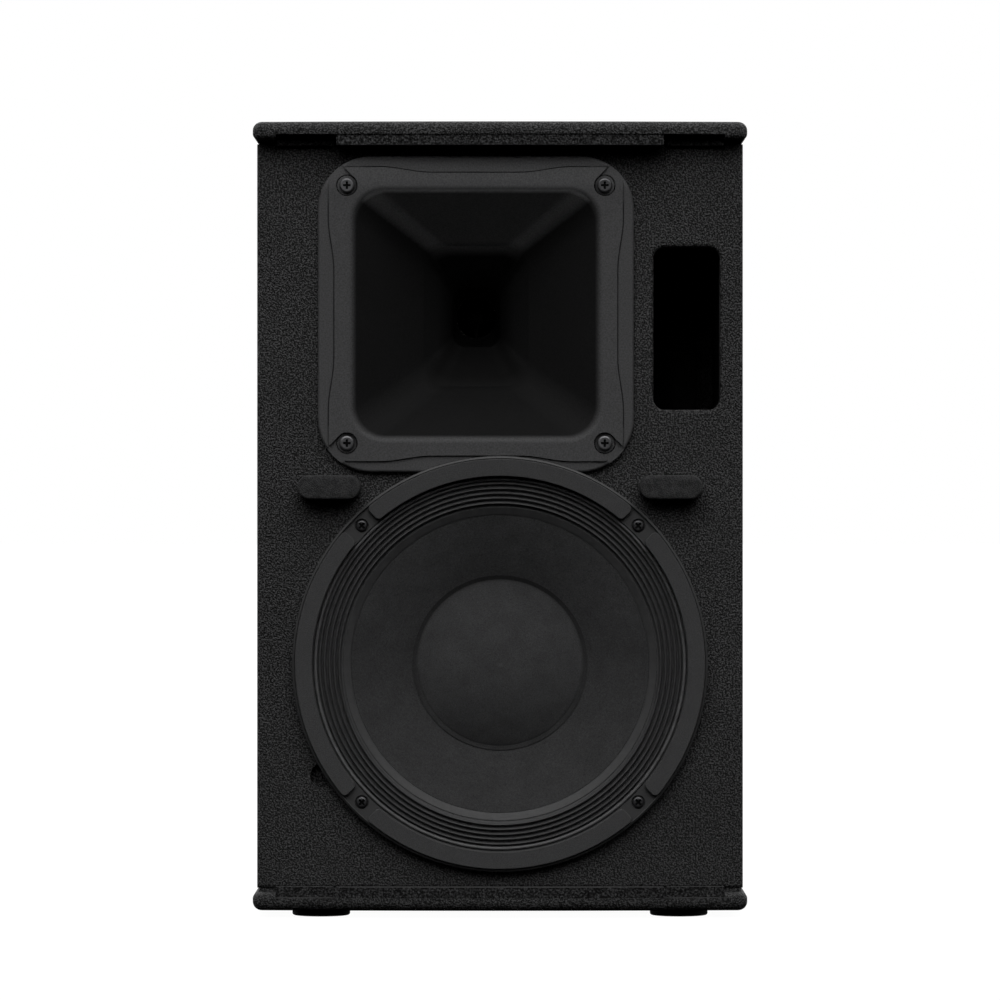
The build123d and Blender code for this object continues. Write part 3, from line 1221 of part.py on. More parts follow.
KNOB_SHAFT_LENGTH = 15.0
KNOB_SKIRT = 2.2
FLUTE_COUNT = 12
FLUTE_RADIUS = 1.2
POINTER_WIDTH = 1.2
POINTER_DEPTH = 0.8


def level_knob(x):
    """Knob with a skirt, finger flutes, a pointer groove and its own shaft."""
    knob_front_y = AMP_FACE_Y + KNOB_GAP
    knob_rear_y = knob_front_y + KNOB_HEIGHT
    skirt_rear_y = knob_front_y + KNOB_SKIRT
    turned(
        [
            (0, AMP_FACE_Y - KNOB_SHAFT_LENGTH),
            (KNOB_SHAFT_RADIUS, AMP_FACE_Y - KNOB_SHAFT_LENGTH),
            (KNOB_SHAFT_RADIUS, knob_front_y),
            (KNOB_RADIUS + 1.8, knob_front_y),
            (KNOB_RADIUS + 1.8, skirt_rear_y - 0.6),
            (KNOB_RADIUS, skirt_rear_y),
            (KNOB_RADIUS - 0.6, knob_rear_y - 0.8),
            (KNOB_RADIUS - 1.4, knob_rear_y),
            (0, knob_rear_y),
        ],
        x,
        KNOB_Z,
    )
    with BuildSketch(rear_plane(knob_rear_y, x, KNOB_Z)) as flutes:
        with PolarLocations(KNOB_RADIUS + 0.6, FLUTE_COUNT, start_angle=180 / FLUTE_COUNT):
            Circle(FLUTE_RADIUS)
    extrude(flutes.sketch, amount=-(KNOB_HEIGHT - KNOB_SKIRT), mode=Mode.SUBTRACT)
    with BuildSketch(rear_plane(knob_rear_y, x, KNOB_Z)) as pointer:
        with Locations((0, KNOB_RADIUS / 2)):
            Rectangle(POINTER_WIDTH, KNOB_RADIUS)
    extrude(pointer.sketch, amount=-POINTER_DEPTH, mode=Mode.SUBTRACT)


with BuildPart() as level_knob_1:
    level_knob(-CONNECTOR_X)

with BuildPart() as level_knob_2:
    level_knob(CONNECTOR_X)

LEVER_PROUD = 3.2
LEVER_GAP = 0.4
with BuildPart() as contour_switch:
    lever_size = (LEVER_LENGTH, AMP_PANEL + LEVER_PROUD, SLOT_HEIGHT - 2 * LEVER_GAP)
    with Locations((SWITCH_X, AMP_FACE_Y - AMP_PANEL, LINK_Z)):
        Box(*lever_size, align=(Align.CENTER, Align.MIN, Align.CENTER))
    fillet(contour_switch.faces().sort_by(Axis.Y)[-1].edges(), radius=SMALL_ROUND)

BUTTON_TRAVEL = 2.0
BUTTON_PROUD = 3.6
with BuildPart() as filter_button:
    with BuildSketch(rear_plane(AMP_FACE_Y - AMP_PANEL - BUTTON_TRAVEL, BUTTON_X, LINK_Z)):
        Circle(BUTTON_RADIUS)
    extrude(amount=AMP_PANEL + BUTTON_TRAVEL + BUTTON_PROUD)
    fillet(filter_button.faces().sort_by(Axis.Y)[-1].edges(), radius=SMALL_ROUND)

with BuildPart() as status_lights:
    with BuildSketch(rear_plane(BODY_REAR_Y, 0, LIGHT_Z)):
        with GridLocations(LIGHT_SPACING, 1, 3, 1):
            Circle(LIGHT_RADIUS)
    extrude(amount=AMP_PANEL + LIGHT_PROUD)
    fillet(status_lights.faces().group_by(Axis.Y)[-1].edges(), radius=0.75 * LIGHT_PROUD)

ROCKER_OPENING = (14.0, 22.0)
ROCKER_SIZE = (13.0, 20.0)
ROCKER_PIVOT_Y = AMP_FACE_Y - 2.0
ROCKER_ROOT = 6.0               # half size of the rocker's hidden foot
ROCKER_TIP = 6.6                # how far its ends stand from the pivot
ROCKER_MIDDLE = 5.0
INLET_OPENING = (27.4, 19.6)
INLET_DEPTH = 17.0
INLET_CHAMFER = 4.5
BLADE = (2.0, 4.2)
BLADE_PLACES = [(0, 3.4), (-7.0, -1.6), (7.0, -1.6)]
MODULE_BODY_DEPTH = 22.0
ROCKER_WELL_DEPTH = 14.0        # behind the panel's face
with BuildPart() as mains_inlet:
    module_plane = rear_plane(AMP_FACE_Y, 0, INLET_Z)
    bezel = rounded_rectangle_at(module_plane, MODULE_WIDTH, MODULE_HEIGHT, MODULE_BEZEL)
    extrude(bezel, amount=MODULE_BEZEL)
    fillet(mains_inlet.faces().sort_by(Axis.Y)[-1].edges(), radius=SMALL_ROUND)
    with BuildSketch(module_plane):
        Rectangle(*MODULE_CUTOUT)
    extrude(amount=-MODULE_BODY_DEPTH)
    with BuildSketch(rear_plane(AMP_FACE_Y + MODULE_BEZEL, INLET_X, INLET_Z)) as inlet_outline:
        Rectangle(*INLET_OPENING)
        chamfer(inlet_outline.vertices().group_by(Axis.Z)[-1], length=INLET_CHAMFER)
        with Locations(*BLADE_PLACES):
            Rectangle(*BLADE, mode=Mode.SUBTRACT)
    extrude(amount=-INLET_DEPTH, mode=Mode.SUBTRACT)
    with BuildSketch(rear_plane(AMP_FACE_Y + MODULE_BEZEL, ROCKER_X, INLET_Z)):
        Rectangle(*ROCKER_OPENING)
    extrude(amount=-(MODULE_BEZEL + ROCKER_WELL_DEPTH), mode=Mode.SUBTRACT)

with BuildPart() as power_rocker:
    rocker_tilt = math.radians(ROCKER_REST_ANGLE)
    rocker_plane = Plane(
        origin=(ROCKER_X - ROCKER_SIZE[0] / 2, ROCKER_PIVOT_Y, INLET_Z),
        x_dir=(0, math.cos(rocker_tilt), -math.sin(rocker_tilt)),
        z_dir=(1, 0, 0),
    )
    half_rocker = ROCKER_SIZE[1] / 2 - 0.7
    rocker_points = [
        (-ROCKER_ROOT, -ROCKER_ROOT),
        (ROCKER_TIP, -half_rocker),
        (ROCKER_MIDDLE, 0),
        (ROCKER_TIP, half_rocker),
        (-ROCKER_ROOT, ROCKER_ROOT),
    ]
    with BuildSketch(rocker_plane) as rocker_outline:
        with BuildLine():
            Polyline(*rocker_points, close=True)
        make_face()
        fillet(rocker_outline.vertices(), radius=SMALL_ROUND)
    extrude(amount=ROCKER_SIZE[0])

# ---------------------------------------------------------------- wiring and lining

LEAD_RADIUS = 2.0
WOOFER_LEAD = [
    (40, AMP_COVER_FRONT_Y, 200),
    (40, 60, 200),
    (TERMINAL_X + 5, 26, 176),
    (TERMINAL_X + 5, -12, WOOFER_Z),
    (TERMINAL_X + 5, FRAME_REAR_Y, WOOFER_Z),
]
DRIVER_LEAD = [
    (-30, AMP_COVER_FRONT_Y, 330),
    (-30, 60, 330),
    (-20, 36, 362),
    (-20, DRIVER_COVER_END_Y, 362),
]


def lead(route, radii):
    """Two-core lead along straight runs joined by arcs."""
    with BuildLine() as path:
        FilletPolyline(*route, radius=radii)
    start = Plane(origin=path.line @ 0, z_dir=path.line % 0)
    with BuildSketch(start) as section:
        Circle(LEAD_RADIUS)
    sweep(section.sketch, path=path.line)


with BuildPart() as speaker_leads:
    lead(WOOFER_LEAD, (18, 24, 40))
    lead(DRIVER_LEAD, (16, 16))

LINING_THICKNESS = 18.0
LINING_INSET = INNER_INSET + 0.2
LINING_START_Y = 14.0
LINING_END_Y = 112.0
LINING_BOTTOM_Z = 110.0
LINING_TOP_Z = BODY_TOP_Z - BOARD - 12.0
TOP_LINING = (150.0, 110.0, LINING_THICKNESS)
with BuildPart() as acoustic_lining:
    wall_points = [
        (half_width(y, inset), y)
        for y, inset in (
            (LINING_START_Y, LINING_INSET),
            (LINING_END_Y, LINING_INSET),
            (LINING_END_Y, LINING_INSET + LINING_THICKNESS),
            (LINING_START_Y, LINING_INSET + LINING_THICKNESS),
        )
    ]
    plan_board(wall_points, LINING_BOTTOM_Z, LINING_TOP_Z)
    mirror(about=Plane.YZ)
    with Locations((0, 20.0, BODY_TOP_Z - BOARD)):
        Box(*TOP_LINING, align=FROM_ABOVE)

# ---------------------------------------------------------------- files, one for each piece

PIECES = {
    "top_plate": top_plate,
    "bottom_plate": bottom_plate,
    "left_side_panel": left_side_panel,
    "right_side_panel": right_side_panel,
    "left_taper_panel": left_taper_panel,
    "right_taper_panel": right_taper_panel,
    "front_baffle": front_baffle,
    "rear_panel": rear_panel,
    "inner_top_panel": inner_top_panel,
    "inner_bottom_panel": inner_bottom_panel,
    "middle_brace": middle_brace,
    "port_duct": port_duct,
    "grille_rails": grille_rails,
    "grille_blocks": grille_blocks,
    "left_grille_pad": left_grille_pad,
    "right_grille_pad": right_grille_pad,
    "rubber_feet": rubber_feet,
    "foot_screws": foot_screws,
    "pole_socket": pole_socket,
    "pole_socket_screws": pole_socket_screws,
    "side_handle": side_handle,
    "handle_screws": handle_screws,
    "rigging_inserts": rigging_inserts,
    "horn": horn,
    "horn_screws": horn_screws,
    "driver_pole_plate": driver_pole_plate,
    "driver_magnet": driver_magnet,
    "driver_gap_plate": driver_gap_plate,
    "phase_plug": phase_plug,
    "driver_diaphragm": driver_diaphragm,
    "driver_rear_cover": driver_rear_cover,
    "driver_screws": driver_screws,
    "woofer_basket": woofer_basket,
    "woofer_gaskets": woofer_gaskets,
    "woofer_surround": woofer_surround,
    "woofer_cone": woofer_cone,
    "dust_cap": dust_cap,
    "voice_coil": voice_coil,
    "woofer_spider": woofer_spider,
    "woofer_gap_plate": woofer_gap_plate,
    "woofer_magnet": woofer_magnet,
    "woofer_yoke": woofer_yoke,
    "woofer_screws": woofer_screws,
    "amplifier_panel": amplifier_panel,
    "heat_sink": heat_sink,
    "amplifier_cover": amplifier_cover,
    "amplifier_board": amplifier_board,
    "input_connector_1": input_connector_1,
    "input_connector_2": input_connector_2,
    "link_connector": link_connector,
    "level_knob_1": level_knob_1,
    "level_knob_2": level_knob_2,
    "contour_switch": contour_switch,
    "filter_button": filter_button,
    "status_lights": status_lights,
    "mains_inlet": mains_inlet,
    "power_rocker": power_rocker,
    "amplifier_screws": amplifier_screws,
    "speaker_leads": speaker_leads,
    "acoustic_lining": acoustic_lining,
}

for name, piece in PIECES.items():
    piece.part.label = name
    export_step(piece.part, f"parts/{name}.step")
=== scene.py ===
"""Looks, stage, light and camera for a two-way powered loudspeaker cabinet.

Metres, in the CAD model's own frame: +Z up, and the front faces -Y.
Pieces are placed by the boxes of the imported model's nodes.
"""

import json
import math

import bmesh
import bpy
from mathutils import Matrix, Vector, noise


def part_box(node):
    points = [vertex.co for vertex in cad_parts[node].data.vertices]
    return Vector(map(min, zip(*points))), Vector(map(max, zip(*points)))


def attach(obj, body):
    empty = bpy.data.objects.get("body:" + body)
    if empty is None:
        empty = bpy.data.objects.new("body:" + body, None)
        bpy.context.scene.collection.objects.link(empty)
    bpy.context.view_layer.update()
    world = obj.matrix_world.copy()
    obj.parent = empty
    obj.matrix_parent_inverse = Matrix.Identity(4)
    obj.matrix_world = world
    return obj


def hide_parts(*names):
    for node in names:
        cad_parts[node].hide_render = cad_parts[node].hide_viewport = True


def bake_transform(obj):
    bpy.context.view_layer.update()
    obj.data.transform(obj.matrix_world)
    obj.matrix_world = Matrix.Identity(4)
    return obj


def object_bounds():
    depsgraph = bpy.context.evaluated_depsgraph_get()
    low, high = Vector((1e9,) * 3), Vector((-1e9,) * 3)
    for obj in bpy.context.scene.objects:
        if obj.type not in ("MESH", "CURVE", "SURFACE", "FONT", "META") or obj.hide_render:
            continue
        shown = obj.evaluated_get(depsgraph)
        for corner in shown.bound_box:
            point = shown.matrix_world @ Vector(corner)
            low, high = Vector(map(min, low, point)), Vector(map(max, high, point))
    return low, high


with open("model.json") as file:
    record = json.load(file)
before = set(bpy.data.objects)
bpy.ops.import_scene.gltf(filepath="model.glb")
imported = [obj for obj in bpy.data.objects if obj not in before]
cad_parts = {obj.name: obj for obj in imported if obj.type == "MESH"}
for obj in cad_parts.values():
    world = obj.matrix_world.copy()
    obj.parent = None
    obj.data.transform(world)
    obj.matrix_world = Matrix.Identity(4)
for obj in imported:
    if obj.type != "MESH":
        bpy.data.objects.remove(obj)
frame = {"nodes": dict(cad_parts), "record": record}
CAD_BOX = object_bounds()
NODES = frame["nodes"]
SLOT_OF_NODE = {row["node"]: row["material_slot"] for row in frame["record"]["subparts"]}

MM = 0.001

# ---------------------------------------------------------------- camera

CAMERA_DISTANCE = 3.6           # from the cabinet's front
CAMERA_HEIGHT = 0.2587
CAMERA_LENS = 209.8


def add_camera():
    """Level camera straight in front of the cabinet."""
    data = bpy.data.cameras.new("camera")
    data.lens = CAMERA_LENS
    data.clip_end = 100.0
    camera = bpy.data.objects.new("camera", data)
    camera.location = (0, CAD_BOX[0].y - CAMERA_DISTANCE, CAMERA_HEIGHT)
    camera.rotation_euler = (math.radians(90), 0, 0)
    bpy.context.scene.collection.objects.link(camera)
    bpy.context.scene.camera = camera


# ---------------------------------------------------------------- stage and light

FLOOR_SIZE = 60.0
FLOOR_GLOW = 0.97
FLOOR_BRIGHTNESS = 0.06
# Each soft light: the way it lies from the cabinet, its half width in degrees, and its brightness.
SOFT_LIGHTS = (
    ((0.0, -0.64, 0.77), 40.0, 2.6),
    ((0.0, 0.77, 0.64), 45.0, 1.6),
    ((-0.72, 0.55, 0.42), 38.0, 1.6),
    ((0.72, 0.55, 0.42), 38.0, 1.6),
)
LIGHT_CORE = 15.0               # degrees from a light's middle at which it starts to fade
DOME_BRIGHTNESS = 0.55
# Sine of the height above the horizon, and the share of the dome's brightness there.
DOME_STOPS = ((0.0, 0.0), (0.28, 0.0), (0.55, 1.0), (0.8, 1.0), (1.0, 0.4))


def add_floor():
    """Plain pale floor that glows softly, so that it stays almost white under the cabinet."""
    mesh = bpy.data.meshes.new("floor")
    half = FLOOR_SIZE / 2
    corners = [(-half, -half, 0), (half, -half, 0), (half, half, 0), (-half, half, 0)]
    mesh.from_pydata(corners, [], [(0, 1, 2, 3)])
    floor = bpy.data.objects.new("floor", mesh)
    floor.visible_diffuse = False
    floor.visible_glossy = False
    material = bpy.data.materials.new("pale_floor")
    material.use_nodes = True
    shader = material.node_tree.nodes["Principled BSDF"]
    shader.inputs["Base Color"].default_value = (*[FLOOR_BRIGHTNESS] * 3, 1)
    shader.inputs["Roughness"].default_value = 1.0
    shader.inputs["Specular IOR Level"].default_value = 0.0
    shader.inputs["Emission Color"].default_value = (1, 1, 1, 1)
    shader.inputs["Emission Strength"].default_value = FLOOR_GLOW
    mesh.materials.append(material)
    bpy.context.scene.collection.objects.link(floor)


def add_studio_light():
    """Large soft lights in front and behind and a dim dome, in front of a white backdrop."""
    world = bpy.data.worlds.new("studio")
    bpy.context.scene.world = world
    world.use_nodes = True
    tree = world.node_tree
    direction = tree.nodes.new("ShaderNodeTexCoord").outputs["Generated"]
    height = tree.nodes.new("ShaderNodeSeparateXYZ")
    tree.links.new(direction, height.inputs[0])
    dome = tree.nodes.new("ShaderNodeValToRGB")
    set_ramp(dome, [(place, DOME_BRIGHTNESS * share) for place, share in DOME_STOPS])
    tree.links.new(height.outputs["Z"], dome.inputs["Fac"])
    total = dome.outputs["Color"]
    for soft_light in SOFT_LIGHTS:
        sum_of_lights = tree.nodes.new("ShaderNodeMath")
        tree.links.new(total, sum_of_lights.inputs[0])
        tree.links.new(soft_light_glow(tree, direction, *soft_light), sum_of_lights.inputs[1])
        total = sum_of_lights.outputs["Value"]
    light = tree.nodes["Background"]
    tree.links.new(total, light.inputs["Strength"])
    light.inputs["Color"].default_value = (1, 1, 1, 1)
    backdrop = tree.nodes.new("ShaderNodeBackground")
    backdrop.inputs["Color"].default_value = (1, 1, 1, 1)
    ray = tree.nodes.new("ShaderNodeLightPath")
    choice = tree.nodes.new("ShaderNodeMixShader")
    tree.links.new(ray.outputs["Is Camera Ray"], choice.inputs["Fac"])
    tree.links.new(light.outputs["Background"], choice.inputs[1])
    tree.links.new(backdrop.outputs["Background"], choice.inputs[2])
    tree.links.new(choice.outputs["Shader"], tree.nodes["World Output"].inputs["Surface"])


def soft_light_glow(tree, direction, aim, half_width, brightness):
    """Brightness of one soft light in a direction: full round its middle, and fading to none at its edge."""
    closeness = tree.nodes.new("ShaderNodeVectorMath")
    closeness.operation = "DOT_PRODUCT"
    closeness.inputs[1].default_value = aim
    tree.links.new(direction, closeness.inputs[0])
    glow = tree.nodes.new("ShaderNodeMapRange")
    glow.interpolation_type = "SMOOTHSTEP"
    glow.inputs["From Min"].default_value = math.cos(math.radians(half_width))
    glow.inputs["From Max"].default_value = math.cos(math.radians(LIGHT_CORE))
    glow.inputs["To Max"].default_value = brightness
    tree.links.new(closeness.outputs["Value"], glow.inputs["Value"])
    return glow.outputs["Result"]


def set_ramp(ramp_node, stops):
    """Give a ColorRamp node grey stops: pairs of a place and a brightness."""
    ramp = ramp_node.color_ramp
    while len(ramp.elements) < len(stops):
        ramp.elements.new(0.5)
    for element, (place, brightness) in zip(ramp.elements, stops):
        element.position = place
        element.color = (brightness, brightness, brightness, 1)


# ---------------------------------------------------------------- node helpers


class Finish:
    """A material under construction: its Principled shader and short ways to add texture nodes."""

    def __init__(self, name, color, roughness, metallic=0.0, specular=0.5):
        self.material = bpy.data.materials.new(name)
        self.material.use_nodes = True
        self.tree = self.material.node_tree
        self.shader = self.tree.nodes["Principled BSDF"]
        self.color = color
        self.roughness = roughness
        self.shader.inputs["Base Color"].default_value = (*color, 1)
        self.shader.inputs["Roughness"].default_value = roughness
        self.shader.inputs["Metallic"].default_value = metallic
        self.shader.inputs["Specular IOR Level"].default_value = specular
        coordinates = self.node("ShaderNodeTexCoord")
        self.place = coordinates.outputs["Object"]
        self.facing = coordinates.outputs["Normal"]
        self.normal = None

    def node(self, kind, **settings):
        """New node; each setting is an attribute of the node or the name of one of its inputs."""
        made = self.tree.nodes.new(kind)
        for key, value in settings.items():
            if hasattr(made, key):
                setattr(made, key, value)
            else:
                made.inputs[key.replace("_", " ").title()].default_value = value
        return made

    def link(self, output, target):
        self.tree.links.new(output, target)

    def noise(self, size, detail=2.0, roughness=0.5, distortion=0.0, place=None):
        """Cloudy texture from 0 to 1 whose features are about size metres across."""
        made = self.node("ShaderNodeTexNoise", Scale=1 / size, Detail=detail)
        made.inputs["Roughness"].default_value = roughness
        made.inputs["Distortion"].default_value = distortion
        self.link(place or self.place, made.inputs["Vector"])
        return made.outputs["Fac"]

    def along(self, axis, vector=None):
        """One component of a vector: unless another is given, how far along the axis the surface lies."""
        components = self.node("ShaderNodeSeparateXYZ")
        self.link(vector or self.place, components.inputs[0])
        return components.outputs[axis]

    def cells(self, size, feature="SMOOTH_F1"):
        """Distance to the nearest of many scattered points about size metres apart."""
        made = self.node("ShaderNodeTexVoronoi", feature=feature, Scale=1 / size)
        self.link(self.place, made.inputs["Vector"])
        return made.outputs["Distance"]

    def waves(self, size, direction="X", distortion=0.0):
        """Parallel ridges size metres apart."""
        made = self.node("ShaderNodeTexWave", bands_direction=direction, Distortion=distortion)
        made.inputs["Scale"].default_value = math.pi / 10 / size
        self.link(self.place, made.inputs["Vector"])
        return made.outputs["Fac"]

    def math(self, operation, first, second=0.0):
        """Result of a Math node on sockets or numbers; the second is unused if only one is needed."""
        made = self.node("ShaderNodeMath", operation=operation)
        for value, target in zip((first, second), made.inputs):
            if isinstance(value, (int, float)):
                target.default_value = value
            else:
                self.link(value, target)
        return made.outputs["Value"]

    def spread(self, factor, low, high, from_low, from_high):
        """Remap a factor's range from_low..from_high to low..high."""
        made = self.node("ShaderNodeMapRange", clamp=True)
        self.link(factor, made.inputs["Value"])
        made.inputs["From Min"].default_value = from_low
        made.inputs["From Max"].default_value = from_high
        made.inputs["To Min"].default_value = low
        made.inputs["To Max"].default_value = high
        return made.outputs["Result"]

    def past(self, factor, start, end):
        """Mask that rises from 0 to 1 as the factor goes from start to end."""
        return self.spread(factor, 0.0, 1.0, start, end)

    def short_of(self, factor, start, end):
        """Mask that falls from 1 to 0 as the factor goes from start to end."""
        return self.spread(factor, 1.0, 0.0, start, end)

    def all_of(self, first, *others):
        """Mask that is 1 only where every one of the masks is."""
        for mask in others:
            first = self.math("MULTIPLY", first, mask)
        return first

    def off_middle(self, axis, middle):
        """How far the surface lies to either side of a place along the axis."""
        return self.math("ABSOLUTE", self.math("SUBTRACT", self.along(axis), middle))

    def radius_about(self, centre):
        """How far the surface lies from the fore-and-aft axis through centre, in metres."""
        flattened = self.node("ShaderNodeVectorMath", operation="MULTIPLY")
        self.link(self.place, flattened.inputs[0])
        flattened.inputs[1].default_value = (1, 0, 1)
        distance = self.node("ShaderNodeVectorMath", operation="DISTANCE")
        self.link(flattened.outputs["Vector"], distance.inputs[0])
        distance.inputs[1].default_value = (centre.x, 0, centre.z)
        return distance.outputs["Value"]

    def vary_color(self, factor, low, high, from_low=0.3, from_high=0.7):
        """Multiply the base colour by low..high as the factor rises."""
        amount = self.spread(factor, low, high, from_low, from_high)
        scaled = self.node("ShaderNodeVectorMath", operation="SCALE")
        current = self.shader.inputs["Base Color"]
        if current.is_linked:
            self.link(current.links[0].from_socket, scaled.inputs[0])
        else:
            scaled.inputs[0].default_value = self.color
        self.link(amount, scaled.inputs["Scale"])
        self.link(scaled.outputs["Vector"], current)

    def shade(self, mask, share):
        """Multiply the base colour by share where the mask is 1."""
        self.vary_color(mask, 1.0, share, 0.0, 1.0)

    def vary_roughness(self, factor, spread_by, from_low=0.3, from_high=0.7):
        """Let roughness move either side of its value by spread_by."""
        smoothest = self.roughness - spread_by
        roughest = self.roughness + spread_by
        rough = self.spread(factor, smoothest, roughest, from_low, from_high)
        self.link(rough, self.shader.inputs["Roughness"])

    def bump(self, height, depth):
        """Raise the surface by depth metres where height is 1."""
        made = self.node("ShaderNodeBump", Strength=1.0, Distance=depth)
        self.link(height, made.inputs["Height"])
        if self.normal is not None:
            self.link(self.normal, made.inputs["Normal"])
        self.normal = made.outputs["Normal"]
        self.link(self.normal, self.shader.inputs["Normal"])


def grey(brightness):
    """Neutral grey with a trace of blue."""
    return (brightness, brightness, brightness * 1.02)


# ---------------------------------------------------------------- materials, one for each slot


def coated_plywood():
    """Sprayed black coating: a hard salt-and-pepper grit over a slow mottle, with painted shade that darkens
    it towards the floor.
    """
    finish = Finish("coated_plywood", grey(0.0142), roughness=0.75, specular=0.3)
    grit = finish.noise(1.05 * MM, detail=1.0, roughness=0.5)
    droplets = finish.cells(1.3 * MM)
    mottle = finish.noise(38 * MM, detail=4.0)
    finish.vary_color(grit, 0.0, 4.5, 0.44, 0.62)
    finish.vary_color(mottle, 0.88, 1.12)
    # Painted shade: darker towards the floor, where less light falls.
    finish.vary_color(finish.along("Z"), 0.8, 1.06, 20 * MM, 320 * MM)
    finish.vary_roughness(grit, 0.12)
    finish.bump(grit, 0.9 * MM)
    finish.bump(droplets, -0.4 * MM)
    return finish.material


def bare_plywood():
    """Birch plywood inside the box: pale grain that runs along the board."""
    finish = Finish("bare_plywood", (0.42, 0.29, 0.17), roughness=0.65)
    stretched = finish.node("ShaderNodeMapping", Scale=(1, 8, 8))
    finish.link(finish.place, stretched.inputs["Vector"])
    grain = finish.noise(30 * MM, detail=6.0, distortion=0.6, place=stretched.outputs["Vector"])
    pores = finish.noise(4 * MM, detail=3.0, place=stretched.outputs["Vector"])
    finish.vary_color(grain, 0.72, 1.15)
    finish.vary_color(pores, 0.9, 1.06)
    finish.vary_roughness(grain, 0.08)
    finish.bump(pores, 0.1 * MM)
    return finish.material


def flat_black(name):
    """Matt black plastic of the ducts that sound passes through."""
    finish = Finish(name, grey(0.002), roughness=0.9, specular=0.03)
    grain = finish.noise(0.6 * MM)
    finish.vary_color(grain, 0.7, 1.4)
    finish.bump(grain, 0.05 * MM)
    return finish.material


def port_plastic():
    return flat_black("port_plastic")


def plug_plastic():
    return flat_black("plug_plastic")


# Horn: distances from its middle, depths behind its front, and how far up a surface faces, each as
# the pair of values between which one colour turns into the next.
MOUTH_REACH = (80 * MM, 83 * MM)
MOUTH_DEPTH = (0.2 * MM, 3.5 * MM)
INNER_PART_DEPTH = (42 * MM, 52 * MM)
THROAT_SHADE_DEPTH = (58 * MM, 72 * MM)
FLANGE_TOP_HEIGHT = (76 * MM, 94 * MM)
UPPER_WALL_FACING = (-0.76, -0.42)
LOWER_WALL_FACING = (0.15, 0.65)
INNER_WALL_FACING = (0.2, 0.5)
# Shares of the flange's brightness: painted light at its top edge, where the top plate's shadow falls; in
# the mouth, a blacker plastic whose darkening also lays painted shade over its rounded edge;
# and, as shares of the mouth's, painted light on its upper wall and painted shade on its lower wall and on
# the walls of the inner part.
FLANGE_TOP_LIGHT_SHARE = 2.1
MOUTH_SHARE = 0.16
UPPER_WALL_LIGHT_SHARE = 19.0
LOWER_WALL_SHADE_SHARE = 0.55
INNER_WALLS_SHADE_SHARE = 0.03
# Painted shade darkens the grooves beside the raised panel. They lie between two distances from the horn's
# middle and stop short of the screws' pockets.
GROOVE_SHADE_SHARE = 0.35
GROOVE_START = (82 * MM, 83 * MM)
GROOVE_EDGE = (94 * MM, 95 * MM)
GROOVE_END = (68 * MM, 72 * MM)
GROOVE_DEPTH = (1.35 * MM, 1.55 * MM)


def horn_plastic():
    """Horn's plastic: a grained charcoal flange round a blacker mouth, with painted light on the flange's
    top edge and the mouth's upper wall, and painted shade in the grooves, on the lower and inner walls and
    in the throat.
    """
    finish = Finish("horn_plastic", grey(0.064), roughness=0.6, specular=0.12)
    low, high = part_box("horn")
    middle = (low + high) / 2
    grain = finish.noise(1.0 * MM, detail=2.0, roughness=0.6)
    flow = finish.noise(45 * MM, detail=3.0)
    sideways = finish.off_middle("X", middle.x)
    upwards = finish.off_middle("Z", middle.z)
    reach = finish.math("MAXIMUM", sideways, upwards)
    depth = finish.math("SUBTRACT", finish.along("Y"), low.y)
    facing_up = finish.along("Z", finish.facing)
    mouth = finish.all_of(finish.short_of(reach, *MOUTH_REACH), finish.past(depth, *MOUTH_DEPTH))
    upper_wall_painted_light = finish.all_of(mouth, finish.short_of(facing_up, *UPPER_WALL_FACING))
    lower_wall_painted_shade = finish.all_of(mouth, finish.past(facing_up, *LOWER_WALL_FACING))
    inner_walls_painted_shade = finish.all_of(
        finish.past(depth, *INNER_PART_DEPTH),
        finish.past(finish.math("ABSOLUTE", facing_up), *INNER_WALL_FACING),
    )
    groove_painted_shade = finish.all_of(
        finish.past(depth, *GROOVE_DEPTH),
        finish.past(reach, *GROOVE_START),
        finish.short_of(reach, *GROOVE_EDGE),
        finish.short_of(finish.math("MINIMUM", sideways, upwards), *GROOVE_END),
    )
    flange_top_painted_light = finish.past(finish.math("SUBTRACT", finish.along("Z"), middle.z), *FLANGE_TOP_HEIGHT)
    finish.vary_color(grain, 0.78, 1.26)
    finish.vary_color(flow, 0.96, 1.04)
    # Painted light on the flange's top edge, where the top plate's shadow falls.
    finish.shade(flange_top_painted_light, FLANGE_TOP_LIGHT_SHARE)
    # Painted shade in the grooves beside the raised panel.
    finish.shade(groove_painted_shade, GROOVE_SHADE_SHARE)
    # Blacker mouth, whose darkening also lays painted shade over its rounded edge.
    finish.shade(mouth, MOUTH_SHARE)
    # Painted light on the mouth's upper wall, which faces down away from the light.
    finish.shade(upper_wall_painted_light, UPPER_WALL_LIGHT_SHARE)
    # Painted shade on the mouth's lower wall, which faces up into the light.
    finish.shade(lower_wall_painted_shade, LOWER_WALL_SHADE_SHARE)
    # Painted shade on the upper and lower walls deep in the horn.
    finish.shade(inner_walls_painted_shade, INNER_WALLS_SHADE_SHARE)
    # Painted shade: the throat, deep in the horn, is made black.
    finish.shade(finish.past(depth, *THROAT_SHADE_DEPTH), 0.0)
    finish.vary_roughness(flow, 0.05)
    finish.bump(grain, 0.06 * MM)
    return finish.material


def connector_plastic():
    """Injection-moulded black plastic with a fine eroded grain and a slow change in gloss."""
    finish = Finish("connector_plastic", grey(0.022), roughness=0.38)
    sparks = finish.noise(0.3 * MM, detail=2.0, roughness=0.6)
    flow = finish.noise(45 * MM, detail=3.0)
    finish.vary_color(sparks, 0.9, 1.12)
    finish.vary_color(flow, 0.96, 1.04)
    finish.vary_roughness(flow, 0.05)
    finish.bump(sparks, 0.05 * MM)
    return finish.material


